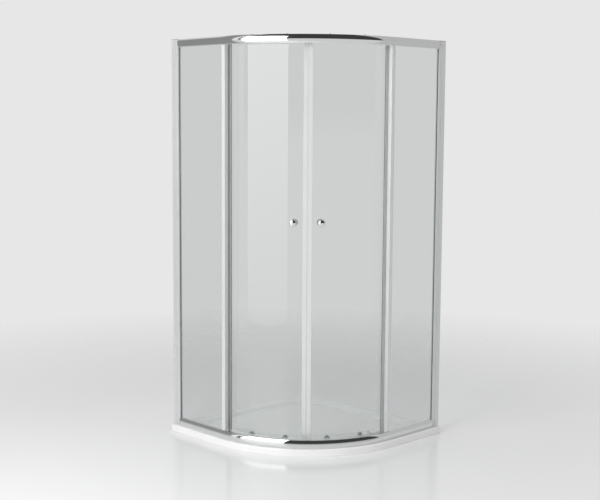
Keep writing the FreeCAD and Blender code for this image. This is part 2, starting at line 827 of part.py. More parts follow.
def fixed_glass(half):
    name = f"{half.name}_fixed_glass"
    foot = bottom_rail_top - glazing_depth + gasket
    head = top_rail_level + glazing_depth - gasket
    post_end = post_length - post_overrun
    corners = [
        (pane_back, post_end - glass_grip + slot_clear),
        (pane_front, post_end - glass_grip + slot_clear),
        (pane_front, straight - jamb_reach + glass_grip - gasket),
        (pane_back, straight - jamb_reach + glass_grip - gasket),
    ]
    keep(name, extrusion(name, half.turn, foot, head - foot, mirrored(corners, half.way)))


def end_post(half):
    """The profile on the fixed glass's free edge, between the rails, with a splash flange."""
    name = f"{half.name}_end_post"
    front = fixed_radius + post_width / 2
    back = fixed_radius - post_width / 2
    low = -post_overrun
    high = post_length - post_overrun
    corners = [
        (back - post_flange, low),
    ] + fluted(front, low, high, 2, -1) + [
        (fixed_radius + slot_half, high),
        (fixed_radius + slot_half, high - glass_grip),
        (fixed_radius - slot_half, high - glass_grip),
        (fixed_radius - slot_half, high),
        (back, high),
        (back, low + web),
        (back - post_flange, low + web),
    ]
    keep(name, extrusion(name, half.turn, bottom_rail_top + slot_clear,
                         clear_height - 2 * slot_clear, mirrored(corners, half.way)))


def profile_caps():
    """Plastic caps that close the wall channels and jambs at the top."""
    caps = []
    for half in halves:
        corners = [
            (fixed_radius - channel_width / 2, straight - jamb_reach),
            (fixed_radius + channel_width / 2, straight - jamb_reach),
            (fixed_radius + channel_width / 2, straight),
            (fixed_radius - channel_width / 2, straight),
        ]
        caps.append(extrusion(f"{half.name}_profile_cap", half.turn, top - cap_height, cap_height,
                              mirrored(corners, half.way)))
    keep("profile_caps", group("profile_caps", caps))


# ------------------------------------------------------------------------------------------- doors

lead_start = meeting_gap / 2 + magnet_stand
lead_finish = lead_start + lead_width
trail_start = trail_overrun - trail_width
glass_lead = lead_finish - glass_grip + slot_clear
glass_trail = trail_start + glass_grip - slot_clear
stile_foot = door_glass_foot - slider_depth + 1
stile_length = door_glass_top - stile_foot
guide_foot = door_glass_foot + slide_clear
guide_screw_level = guide_foot + guide_height - screw_head
positions = (("lead", lead_roller), ("trail", trail_roller))


def stile_line(groove_middle):
    """How far out a straight upright sits so that the curved glass runs through its groove."""
    return root(door_radius * door_radius - groove_middle * groove_middle)


lead_line = stile_line(lead_finish - glass_grip / 2)
trail_line = stile_line(trail_start + glass_grip / 2)
flange_tip = trail_line + stile_width / 2 + post_flange


def along_arc(half, low, high, name, corners):
    """A section bent along the door, from one distance past the meeting line to another past the
    start of the bend."""
    low_angle = arc_angle(low, door_radius)
    high_angle = 45 + arc_angle(high, door_radius)
    begin = low_angle if half.way > 0 else high_angle
    body = body_at(name, half.angle(begin))
    sketch = sketch_on(body, "XZ")
    closed_outline(sketch, corners)
    revolve(body, sketch, "V_Axis", high_angle - low_angle)
    return body


def door_glass(half):
    """The curved pane, drilled for its knobs, hangers and guides."""
    name = f"{half.name}_door_glass"
    body = along_arc(half, glass_lead, glass_trail, name + "_body", [
        (door_inside, door_glass_foot),
        (door_outside, door_glass_foot),
        (door_outside, door_glass_top),
        (door_inside, door_glass_top),
    ])
    places = [(knob_angle, knob_height, stud_radius)]
    for _, angle in positions:
        places.append((angle, top_axle, hanger_boss))
        places.append((angle, guide_screw_level, screw_radius))
    drills = [turned(f"{name}_drill_{number}", half.angle(angle), level, [
        (door_inside - 1, 0), (door_outside + 1, 0),
        (door_outside + 1, hole + drill_clear), (door_inside - 1, hole + drill_clear),
    ]) for number, (angle, level, hole) in enumerate(places)]
    keep(name, drilled(name, body, drills))


def meeting_profile(half):
    """The upright on the edge where the doors meet, with a groove for the magnet strip."""
    name = f"{half.name}_meeting_profile"
    front = lead_line + stile_width / 2
    back = lead_line - stile_width / 2
    mouth = web
    groove = magnet_stand + web
    corners = fluted(front, lead_start, lead_finish, 2, -1) + [
        (lead_line + slot_half, lead_finish),
        (lead_line + slot_half, lead_finish - glass_grip),
        (lead_line - slot_half, lead_finish - glass_grip),
        (lead_line - slot_half, lead_finish),
    ] + fluted(back, lead_finish, lead_start, 2, 1) + [
        (lead_line - mouth, lead_start),
        (lead_line - mouth, lead_start + web / 2),
        (lead_line - 2 * mouth, lead_start + web / 2),
        (lead_line - 2 * mouth, lead_start + groove),
        (lead_line + 2 * mouth, lead_start + groove),
        (lead_line + 2 * mouth, lead_start + web / 2),
        (lead_line + mouth, lead_start + web / 2),
        (lead_line + mouth, lead_start),
    ]
    keep(name, extrusion(name, MEETING_ANGLE, stile_foot, stile_length, mirrored(corners, half.way)))


def magnet_seal(half):
    """The magnet strip: its foot slides into the meeting profile, its face meets the other door."""
    name = f"{half.name}_magnet_seal"
    face = meeting_gap / 2
    magnet_half = stile_width / 2 - web / 2
    groove = magnet_stand + web
    neck = web - drill_clear
    shoulder = lead_start - running_fit
    corners = [
        (lead_line - magnet_half, face),
        (lead_line + magnet_half, face),
        (lead_line + magnet_half, shoulder),
        (lead_line + neck, shoulder),
        (lead_line + neck, lead_start + web / 2 + drill_clear),
        (lead_line + 2 * neck, lead_start + web / 2 + drill_clear),
        (lead_line + 2 * neck, lead_start + groove - drill_clear),
        (lead_line - 2 * neck, lead_start + groove - drill_clear),
        (lead_line - 2 * neck, lead_start + web / 2 + drill_clear),
        (lead_line - neck, lead_start + web / 2 + drill_clear),
        (lead_line - neck, shoulder),
        (lead_line - magnet_half, shoulder),
    ]
    keep(name, extrusion(name, MEETING_ANGLE, stile_foot, stile_length, mirrored(corners, half.way)))


def trailing_profile(half):
    """The upright on the door's other edge; its flange, between the rails, carries the fin."""
    name = f"{half.name}_trailing_profile"
    front = trail_line + stile_width / 2
    back = trail_line - stile_width / 2
    corners = fluted(front, trail_start, trail_overrun, 2, -1) + [
        (back, trail_overrun),
        (back, trail_start),
        (trail_line - slot_half, trail_start),
        (trail_line - slot_half, trail_start + glass_grip),
        (trail_line + slot_half, trail_start + glass_grip),
        (trail_line + slot_half, trail_start),
    ]
    body = extrusion(name, half.turn, stile_foot, stile_length, mirrored(corners, half.way))
    flange = sketch_on(body, "XY", bottom_rail_top + web - stile_foot)
    closed_outline(flange, mirrored([
        (front - web, trail_overrun - web),
        (flange_tip, trail_overrun - web),
        (flange_tip, trail_overrun),
        (front - web, trail_overrun),
    ], half.way))
    pad(body, flange, clear_height - 2 * web)
    keep(name, body)


def fin_seal(half):
    """The clear fin clipped to the trailing flange, which closes the gap to the end post."""
    name = f"{half.name}_fin_seal"
    post_back = fixed_radius - post_width / 2
    low = trail_overrun - web - drip_wall
    high = trail_overrun + drip_wall
    grip = flange_tip - post_flange / 2
    corners = [
        (grip, low),
        (flange_tip + drip_wall, low),
        (post_back - gasket, low - drip_wall),
        (post_back - gasket, low),
        (flange_tip + 2 * drip_wall, high - drip_wall),
        (flange_tip + drip_wall, high),
        (grip, high),
        (grip, trail_overrun),
        (flange_tip, trail_overrun),
        (flange_tip, trail_overrun - web),
        (grip, trail_overrun - web),
    ]
    keep(name, extrusion(name, half.turn, bottom_rail_top + web, clear_height - 2 * web,
                         mirrored(corners, half.way)))


def drip_seal(half):
    """The clear strip along the door's lower edge, with a fin that sheds water into the tray."""
    name = f"{half.name}_drip_seal"
    keep(name, along_arc(half, lead_finish + slot_clear, trail_start - slot_clear, name, [
        (door_inside, door_glass_foot - drip_wall),
        (door_outside - drip_wall, door_glass_foot - drip_wall),
        (door_outside - drip_wall, door_glass_foot - drip_fin),
        (door_outside, door_glass_foot - drip_fin),
        (outer_seat + drip_wall, door_glass_foot - drip_wall),
        (outer_seat + drip_wall, door_glass_foot + drip_leg),
        (outer_seat, door_glass_foot + drip_leg),
        (outer_seat, door_glass_foot),
        (door_inside, door_glass_foot),
    ]))


def knob(half, name, base, out):
    """A turned knob with a neck, a flare, a stepped dome for its face and a bore for the stud."""
    bore = stud_radius + drill_clear / 2
    face = base + out * (knob_reach - knob_dome)
    full = f"{half.name}_{name}"
    keep(full, turned(full, half.angle(knob_angle), knob_height, [
        (base + out * knob_bore, 0),
        (base + out * knob_bore, bore),
        (base, bore),
        (base, knob_neck),
        (base + out * knob_bore, knob_neck),
        (face - out * knob_dome, knob_radius),
        (face, knob_radius),
        (base + out * knob_reach, knob_radius / 2),
        (base + out * knob_reach, 0),
    ]))


def knobs(half):
    knob(half, "outer_knob", outer_seat + washer, 1)
    knob(half, "inner_knob", inner_seat - washer, -1)
    angle = half.angle(knob_angle)
    bore = stud_radius + drill_clear / 2
    name = f"{half.name}_knob_washers"
    washers = [turned(f"{name}_{number}", angle, knob_height, [
        (low, bore), (low + washer, bore), (low + washer, knob_neck), (low, knob_neck),
    ]) for number, low in enumerate((outer_seat, inner_seat - washer))]
    keep(name, group(name, washers))


def tapered_plate(body, offset, foot, head, thickness):
    """An upright plate, wide at its foot and narrow at its rounded top."""
    sketch = sketch_on(body, "YZ", offset)
    closed_outline(sketch, [
        (-hanger_width / 2, foot),
        (hanger_width / 2, foot),
        (hanger_width / 2, foot + corner_round * 2),
        (apex_width / 2, head),
        (-apex_width / 2, head),
        (-hanger_width / 2, foot + corner_round * 2),
    ])
    pad(body, sketch, thickness)
    dress(body, "Fillet", corner_round, lambda edge: runs_along(edge, X_WAY))


def hanger(half, place, angle):
    """The plate that hangs the door from a roller; its boss passes through the glass."""
    name = f"{half.name}_{place}_hanger"
    body = body_at(name, half.angle(angle), top_axle)
    tapered_plate(body, inner_seat - hanger_plate, -hanger_foot, hanger_rise, hanger_plate)
    boss = sketch_on(body, "YZ", inner_seat)
    round_hole(boss, 0, 0, hanger_boss)
    pad(body, boss, wheel_line - wheel_width / 2 - slide_clear - inner_seat)
    bore = sketch_on(body, "YZ")
    round_hole(bore, 0, 0, axle_radius + drill_clear / 2)
    pocket(body, bore)
    keep(name, body)


def wheel(half, name, angle, level):
    """A roller with eased edges and a plain bore."""
    bore = axle_radius + running_fit
    low = wheel_line - wheel_width / 2
    high = wheel_line + wheel_width / 2
    full = f"{half.name}_{name}"
    keep(full, turned(full, half.angle(angle), level, [
        (low, bore), (high, bore), (high, wheel_radius - wheel_edge),
        (high - wheel_edge, wheel_radius), (low + wheel_edge, wheel_radius),
        (low, wheel_radius - wheel_edge),
    ]))


def guide_housing(half, place, angle):
    """The housing on the glass's lower edge, hollow for the slider that carries the wheel."""
    name = f"{half.name}_{place}_guide"
    body = body_at(name, half.angle(angle), guide_foot)
    tapered_plate(body, inner_seat - guide_depth, 0, guide_height, guide_depth)
    slot = sketch_on(body, "XY")
    middle = inner_seat - guide_depth / 2
    depth = slider_depth / 2 + slide_clear
    width = slider_width / 2 + slide_clear
    rectangle(slot, middle - depth, -width, middle + depth, width)
    pocket(body, slot, guide_slot, reverse=True)
    screw = sketch_on(body, "YZ")
    round_hole(screw, 0, guide_screw_level - guide_foot, screw_radius + drill_clear)
    pocket(body, screw)
    keep(name, body)


def guide_slider(half, place, angle):
    """The sprung slider: a stem in the housing, a spigot for the wheel and a finger tab."""
    name = f"{half.name}_{place}_slider"
    body = body_at(name, half.angle(angle), bottom_axle)
    middle = inner_seat - guide_depth / 2
    near = middle - slider_depth / 2
    stem_top = guide_foot + guide_slot - slide_clear - bottom_axle
    stem = sketch_on(body, "YZ", near)
    foot = -hanger_boss
    rectangle(stem, -slider_width / 2, foot, slider_width / 2, stem_top)
    pad(body, stem, slider_depth)
    tab = sketch_on(body, "XY", foot)
    rectangle(tab, near - slider_tab, -slider_width / 2, near + web, slider_width / 2)
    pad(body, tab, 2 * web)
    spigot = sketch_on(body, "XZ")
    shoulder = wheel_line - wheel_width / 2 - slide_clear
    wheel_face = wheel_line + wheel_width / 2 + slide_clear
    head = wheel_face + web / 2
    closed_outline(spigot, [
        (middle, 0), (head, 0), (head, axle_head), (wheel_face, axle_head),
        (wheel_face, axle_radius), (shoulder, axle_radius), (shoulder, axle_head),
        (middle, axle_head),
    ])
    revolve(body, spigot, "H_Axis")
    keep(name, body)


def door_fasteners(half):
    """Roller bolts, the knobs' stud, and the guide housings' screws with their nuts."""
    name = f"{half.name}_door_fasteners"
    plate = inner_seat - hanger_plate
    wheel_face = wheel_line + wheel_width / 2 + slide_clear
    tail = wheel_face + web / 2
    housing = inner_seat - guide_depth
    nut = outer_seat + head_height
    pieces = []
    for place, angle in positions:
        pieces.append(turned(f"{name}_{place}_bolt", half.angle(angle), top_axle, [
            (plate - head_height, 0), (tail, 0), (tail, axle_head), (wheel_face, axle_head),
            (wheel_face, axle_radius), (plate, axle_radius), (plate, bolt_head),
            (plate - head_height, bolt_head - head_height / 2),
        ]))
        pieces.append(turned(f"{name}_{place}_screw", half.angle(angle), guide_screw_level, [
            (housing - head_height, 0), (nut + web / 2, 0), (nut + web / 2, screw_radius),
            (housing, screw_radius), (housing, screw_head), (housing - head_height, screw_radius),
        ]))
        pieces.append(turned(f"{name}_{place}_nut", half.angle(angle), guide_screw_level, [
            (outer_seat, screw_radius + running_fit), (nut, screw_radius + running_fit),
            (nut, screw_head), (outer_seat, screw_head),
        ]))
    reach = washer + knob_bore - drill_clear
    pieces.append(turned(f"{name}_stud", half.angle(knob_angle), knob_height, [
        (inner_seat - reach, 0), (outer_seat + reach, 0),
        (outer_seat + reach, stud_radius), (inner_seat - reach, stud_radius),
    ]))
    keep(name, group(name, pieces))


def door(half):
    door_glass(half)
    meeting_profile(half)
    magnet_seal(half)
    trailing_profile(half)
    fin_seal(half)
    drip_seal(half)
    knobs(half)
    door_fasteners(half)
    for place, angle in positions:
        hanger(half, place, angle)
        guide_housing(half, place, angle)
        guide_slider(half, place, angle)
        wheel(half, f"{place}_top_wheel", angle, top_axle)
        wheel(half, f"{place}_bottom_wheel", angle, bottom_axle)


# ------------------------------------------------------------------------------------ write it out

shower_tray()
drain_ring()
drain_cover()
top_rail()
bottom_rail()
rail_end_plates("top_rail_end_plates", top_rail_level, lambda height: height)
rail_end_plates("bottom_rail_end_plates", tray_height, lambda height: rail_height - height)
door_buffers()
for half in halves:
    wall_channel(half)
    jamb(half)
    glazing_gasket(half)
    fixed_glass(half)
    end_post(half)
frame_screws()
profile_caps()
for half in halves:
    door(half)

doc.recompute()
for item in doc.Objects:
    if "Invalid" in item.State or "Error" in item.State:
        raise RuntimeError(f"{item.Label} did not rebuild: {item.State}")
os.makedirs("parts", exist_ok=True)
for label, item in nodes.items():
    if item.Shape.isNull() or not item.Shape.isValid():
        raise RuntimeError(f"{label} has no valid shape")
    item.Shape.exportStep(f"parts/{label}.step")
    print(label, len(item.Shape.Solids), round(item.Shape.Volume / 1000), item.Shape.BoundBox)
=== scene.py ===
"""Looks of the quadrant shower enclosure, laid out as a Blender add-on.

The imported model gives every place. The long bent pieces are swept along the quadrant by one
Geometry Nodes rule, the turned pieces are lathed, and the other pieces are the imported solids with
their sharp edges eased.
"""

import functools
import json
import math

import bmesh
import bpy
from bpy.props import FloatProperty, FloatVectorProperty, IntProperty, PointerProperty
from mathutils import Matrix, Vector

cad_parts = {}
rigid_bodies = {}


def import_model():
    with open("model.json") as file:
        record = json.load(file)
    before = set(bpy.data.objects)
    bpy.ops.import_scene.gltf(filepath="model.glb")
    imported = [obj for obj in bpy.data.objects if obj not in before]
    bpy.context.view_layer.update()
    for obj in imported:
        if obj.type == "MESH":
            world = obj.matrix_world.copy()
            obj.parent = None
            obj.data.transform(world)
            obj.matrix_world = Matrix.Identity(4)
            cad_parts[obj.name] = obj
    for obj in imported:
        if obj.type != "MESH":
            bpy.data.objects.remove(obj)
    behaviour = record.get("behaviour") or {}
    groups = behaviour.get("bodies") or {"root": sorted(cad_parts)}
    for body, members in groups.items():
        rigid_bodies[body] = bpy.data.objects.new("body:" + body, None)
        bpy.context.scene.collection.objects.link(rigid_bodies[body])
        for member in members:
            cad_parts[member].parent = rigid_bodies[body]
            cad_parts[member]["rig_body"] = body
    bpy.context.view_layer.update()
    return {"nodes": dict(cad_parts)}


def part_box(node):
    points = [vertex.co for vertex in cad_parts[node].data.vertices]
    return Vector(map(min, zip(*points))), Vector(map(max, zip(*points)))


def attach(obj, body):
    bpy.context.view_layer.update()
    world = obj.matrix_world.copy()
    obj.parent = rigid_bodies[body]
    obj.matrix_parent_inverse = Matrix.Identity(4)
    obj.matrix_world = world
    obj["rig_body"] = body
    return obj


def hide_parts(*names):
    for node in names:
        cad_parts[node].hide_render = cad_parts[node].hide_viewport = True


bl_info = {
    "name": "Quadrant shower enclosure",
    "version": (1, 0, 0),
    "blender": (4, 5, 0),
    "location": "3D View > Sidebar > Enclosure",
    "description": "Finishes a packed quadrant shower enclosure and sets up its studio",
    "category": "Object",
}

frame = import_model()
NODES = frame["nodes"]
HALVES = (("left", -1), ("right", 1))
QUARTER = math.pi / 4
KNOB_TURN = 7.0  # degrees from the line where the doors meet
CONTACT_GAP = 0.00003
NODES_IN_A_ROW = 8
NODE_STEP = (220, 320)

# What the enclosure reflects around it: azimuth from +X in degrees, and the brightness above and
# below the horizon. It is the pale backdrop, a grey wall on the left, a white edge, the dark of the
# studio over its pale floor, and a pale wall on the right.
ROOM = ((-180, 0.80, 0.72), (-160, 0.80, 0.72), (-150, 0.30, 0.30), (-125, 0.30, 0.30),
        (-124, 0.95, 0.72), (-118, 0.95, 0.72), (-117, 0.05, 0.72), (30, 0.05, 0.72),
        (32, 0.55, 0.55), (90, 0.55, 0.55), (110, 0.80, 0.72), (180, 0.80, 0.72))


def node_box(name):
    """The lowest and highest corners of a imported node."""
    low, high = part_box(name)
    return Vector(low), Vector(high)


TRAY_LOW, TRAY_HIGH = node_box("shower_tray")
RAIL_LOW, RAIL_HIGH = node_box("top_rail")
LOWER_RAIL_LOW, LOWER_RAIL_HIGH = node_box("bottom_rail")
COVER_LOW, COVER_HIGH = node_box("drain_cover")
RING_LOW, RING_HIGH = node_box("drain_ring")
GLASS_LOW, GLASS_HIGH = node_box("right_door_glass")
SEAL_LOW, SEAL_HIGH = node_box("right_drip_seal")


# --- properties

class EnclosureSizes(bpy.types.PropertyGroup):
    """Sizes of the pieces that are made here."""

    bend_radius: FloatProperty(
        name="Tray radius", description="Radius of the tray's quadrant",
        default=0.55, min=0.3, unit="LENGTH")
    wall_rim: FloatProperty(
        name="Rim at the walls", description="Width of the tray's rim along the walls",
        default=0.042, min=0.01, unit="LENGTH")
    front_rim: FloatProperty(
        name="Rim at the front", description="Width of the tray's rim under the rails",
        default=0.066, min=0.03, unit="LENGTH")
    basin_depth: FloatProperty(
        name="Basin depth", description="Rim to the basin's floor",
        default=0.015, min=0.005, unit="LENGTH")
    basin_slope: FloatProperty(
        name="Basin slope", description="Width of the basin's sloping sides",
        default=0.030, min=0.01, unit="LENGTH")
    back_round: FloatProperty(
        name="Back corner", description="Radius of the basin's corner in the room's corner",
        default=0.205, min=0.04, unit="LENGTH")
    end_round: FloatProperty(
        name="End corners", description="Radius of the basin's corners at the panel ends",
        default=0.070, min=0.035, unit="LENGTH")
    front_edge: FloatProperty(
        name="Tray edge", description="Rounding of the tray's upper edge at the front",
        default=0.006, min=0.001, unit="LENGTH")
    rail_crown: FloatProperty(
        name="Rail crown", description="Bulge of the rails' outer face",
        default=0.006, min=0.001, unit="LENGTH")
    rail_wall: FloatProperty(
        name="Rail wall", description="Wall of the rails' section",
        default=0.0016, min=0.0005, unit="LENGTH")
    pane: FloatProperty(
        name="Glass", description="Thickness of the glass",
        default=0.005, min=0.003, unit="LENGTH")
    sweep_steps: IntProperty(
        name="Sweep steps", description="Steps of a piece that is bent through the whole quadrant",
        default=220, min=40, max=600)


class EnclosureFinishes(bpy.types.PropertyGroup):
    """Colours and gloss of the finishes."""

    aluminium: FloatVectorProperty(
        name="Aluminium", description="Colour of the polished profiles",
        default=(0.82, 0.825, 0.83), size=3, subtype="COLOR", min=0, max=1)
    chrome: FloatVectorProperty(
        name="Chrome", description="Colour of the plated knobs and drain cover",
        default=(0.80, 0.80, 0.81), size=3, subtype="COLOR", min=0, max=1)
    gel_coat: FloatVectorProperty(
        name="Tray", description="Colour of the tray's gel coat",
        default=(0.86, 0.86, 0.855), size=3, subtype="COLOR", min=0, max=1)
    # The glass tint is partly the glass's own faint green and partly painted shade: it is darker to stand in
    # for the shade inside the enclosure seen through the panes.
    glass: FloatVectorProperty(
        name="Glass", description="Tint of the glass",
        default=(0.765, 0.785, 0.78), size=3, subtype="COLOR", min=0, max=1)
    marks: FloatProperty(
        name="Marks", description="How strongly handling marks show on the metal",
        default=0.35, min=0, max=1, subtype="FACTOR")


class EnclosureStudio(bpy.types.PropertyGroup):
    """Camera and lights."""

    camera_place: FloatVectorProperty(
        name="Camera", description="Where the camera stands",
        default=(3.728, -3.715, 1.474), size=3, subtype="TRANSLATION", unit="LENGTH")
    heading: FloatProperty(
        name="Heading", description="Compass angle of the view, from +X",
        default=math.radians(135.47), subtype="ANGLE")
    dip: FloatProperty(
        name="Dip", description="How far the camera looks down",
        default=math.radians(6.57), subtype="ANGLE")
    roll: FloatProperty(
        name="Roll", description="How far the camera is tilted sideways",
        default=math.radians(0.36), subtype="ANGLE")
    lens: FloatProperty(
        name="Lens", description="Focal length on a 36 mm sensor",
        default=68.2, min=10, subtype="DISTANCE_CAMERA")
    key_power: FloatProperty(
        name="Key light", description="Power of the large soft light at the front left",
        default=90.0, min=0, unit="POWER")
    fill_power: FloatProperty(
        name="Fill light", description="Power of the soft light at the front right",
        default=30.0, min=0, unit="POWER")
    top_power: FloatProperty(
        name="Top light", description="Power of the soft light above",
        default=15.0, min=0, unit="POWER")
    sky: FloatProperty(
        name="Surround", description="Brightness of the surround that lights the object",
        default=0.42, min=0, max=1)
    backdrop: FloatProperty(
        name="Backdrop", description="Brightness of the plain backdrop behind the object",
        default=0.80, min=0, max=1)
    softbox: FloatProperty(
        name="Softbox", description="Brightness of the softbox that the glass and rails reflect",
        default=4.0, min=0)


# --- mesh tools

def add_object(name, data):
    """A new object, linked to the scene."""
    thing = bpy.data.objects.new(name, data)
    bpy.context.scene.collection.objects.link(thing)
    return thing


def mesh_object(name, bm, material, sharp=30):
    """A piece from a bmesh, smooth but for its edges sharper than an angle in degrees."""
    mesh = bpy.data.meshes.new(name)
    bm.to_mesh(mesh)
    bm.free()
    return finish_object(name, mesh, material, sharp)


def finish_object(name, mesh, material, sharp=30):
    """Shade a mesh so that its large faces stay flat between rounded edges, and link it."""
    mesh.materials.clear()
    mesh.materials.append(material)
    mesh.shade_smooth()
    mesh.set_sharp_from_angle(angle=math.radians(sharp))
    draft = add_object(name + "_shaded", mesh)
    weighting = draft.modifiers.new("Flat faces", "WEIGHTED_NORMAL")
    weighting.keep_sharp = True
    mesh = plain_mesh(draft)
    mesh.name = name
    return add_object(name, mesh)


def plain_mesh(piece):
    """The piece with its modifiers worked in, as a new plain mesh in place of the old object."""
    depsgraph = bpy.context.evaluated_depsgraph_get()
    mesh = bpy.data.meshes.new_from_object(piece.evaluated_get(depsgraph), depsgraph=depsgraph)
    name = piece.name
    bpy.data.objects.remove(piece)
    mesh.name = name
    return mesh


def stand_for(piece, *nodes):
    """Let a piece ride on the body of the nodes that it replaces, and hide those nodes."""
    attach(piece, NODES[nodes[0]]["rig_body"])
    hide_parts(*nodes)


def eased(node, slot, width=0.0004, segments=2):
    """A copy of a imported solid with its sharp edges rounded, which stands for the node. It is a
    hair smaller, so that faces in contact don't show through each other."""
    material = finish(slot)
    bm = bmesh.new()
    bm.from_mesh(NODES[node].data)
    bmesh.ops.remove_doubles(bm, verts=bm.verts, dist=1e-6)
    bmesh.ops.dissolve_limit(bm, angle_limit=math.radians(0.5), verts=bm.verts, edges=bm.edges,
                             delimit={"NORMAL"})
    bm.normal_update()
    for vertex in bm.verts:
        vertex.co -= vertex.normal * CONTACT_GAP
    draft = mesh_object(node + "_draft", bm, material)
    bevel = draft.modifiers.new("Ease", "BEVEL")
    bevel.width = width
    bevel.segments = segments
    bevel.limit_method = "ANGLE"
    bevel.angle_limit = math.radians(35)
    bevel.use_clamp_overlap = True
    mesh = plain_mesh(draft)
    stand_for(finish_object(node + "_eased", mesh, material, sharp=40), node)


def lathe(name, outline, centre, axis, material, steps=96, sharp=35):
    """A turned piece: the outline holds (distance along the axis, radius), from axis to axis."""
    axis = Vector(axis).normalized()
    side = axis.orthogonal().normalized()
    other = axis.cross(side)
    bm = bmesh.new()
    rings = []
    for along, reach in outline:
        middle = Vector(centre) + axis * along
        if reach < 1e-7:
            rings.append([bm.verts.new(middle)])
            continue
        ring = []
        for step in range(steps):
            turn = 2 * math.pi * step / steps
            ring.append(bm.verts.new(middle + (side * math.cos(turn) + other * math.sin(turn)) * reach))
        rings.append(ring)
    for low, high in zip(rings, rings[1:]):
        for step in range(steps):
            after = (step + 1) % steps
            corners = []
            corners += [low[step % len(low)], low[after % len(low)]] if len(low) > 1 else [low[0]]
            corners += [high[after], high[step]] if len(high) > 1 else [high[0]]
            bm.faces.new(corners)
    bmesh.ops.recalc_face_normals(bm, faces=bm.faces)
    return mesh_object(name, bm, material, sharp)


def arc_outline(start, end, bulge, steps):
    """Points of a shallow arc between two outline points, bulging to the left of its way."""
    start, end = Vector(start), Vector(end)
    along = end - start
    left = Vector((-along.y, along.x)).normalized()
    half = along.length / 2
    radius = (half * half + bulge * bulge) / (2 * bulge)
    middle = (start + end) / 2 - left * (radius - bulge)
    reach = math.asin(half / radius)
    heading = math.atan2(left.y, left.x)
    return [middle + Vector((math.cos(heading + reach * (1 - 2 * step / steps)),
                             math.sin(heading + reach * (1 - 2 * step / steps)))) * radius
            for step in range(steps + 1)]


# --- the quadrant's sweep

def new_node(tree, kind, **settings):
    """A node with its settings. Nodes stand in rows, in the order they are made."""
    row, column = divmod(len(tree.nodes), NODES_IN_A_ROW)
    node = tree.nodes.new(kind)
    node.location = (NODE_STEP[0] * column, -NODE_STEP[1] * row)
    for name, value in settings.items():
        setattr(node, name, value)
    return node


def feed(tree, node, **values):
    """Give a node's inputs their values: a socket is linked, and anything else is set."""
    for label, value in values.items():
        socket = node.inputs[label.replace("_", " ")]
        if isinstance(value, bpy.types.NodeSocket):
            tree.links.new(value, socket)
        else:
            socket.default_value = value


def wired(tree, kind, settings=None, **values):
    """The first output of a new node with its settings, and its inputs fed."""
    node = new_node(tree, kind, **(settings or {}))
    feed(tree, node, **values)
    return node.outputs[0]


def link_in_order(tree, node, *sockets):
    """Link sockets to a node's inputs, in their order."""
    for given, socket in zip(sockets, node.inputs):
        tree.links.new(given, socket)


def split_vector(tree, vector):
    """The X, Y and Z of a vector."""
    node = new_node(tree, "ShaderNodeSeparateXYZ")
    link_in_order(tree, node, vector)
    return node.outputs


def bare_tree(thing):
    """The node tree of a material or a world, emptied."""
    thing.use_nodes = True
    thing.node_tree.nodes.clear()
    return thing.node_tree


def scalar(tree, operation, first, second):
    """A Math node of two inputs, each a socket or a number."""
    node = new_node(tree, "ShaderNodeMath", operation=operation)
    for socket, value in zip(node.inputs, (first, second)):
        if isinstance(value, (int, float)):
            socket.default_value = value
        elif value is not None:
            tree.links.new(value, socket)
    return node.outputs[0]


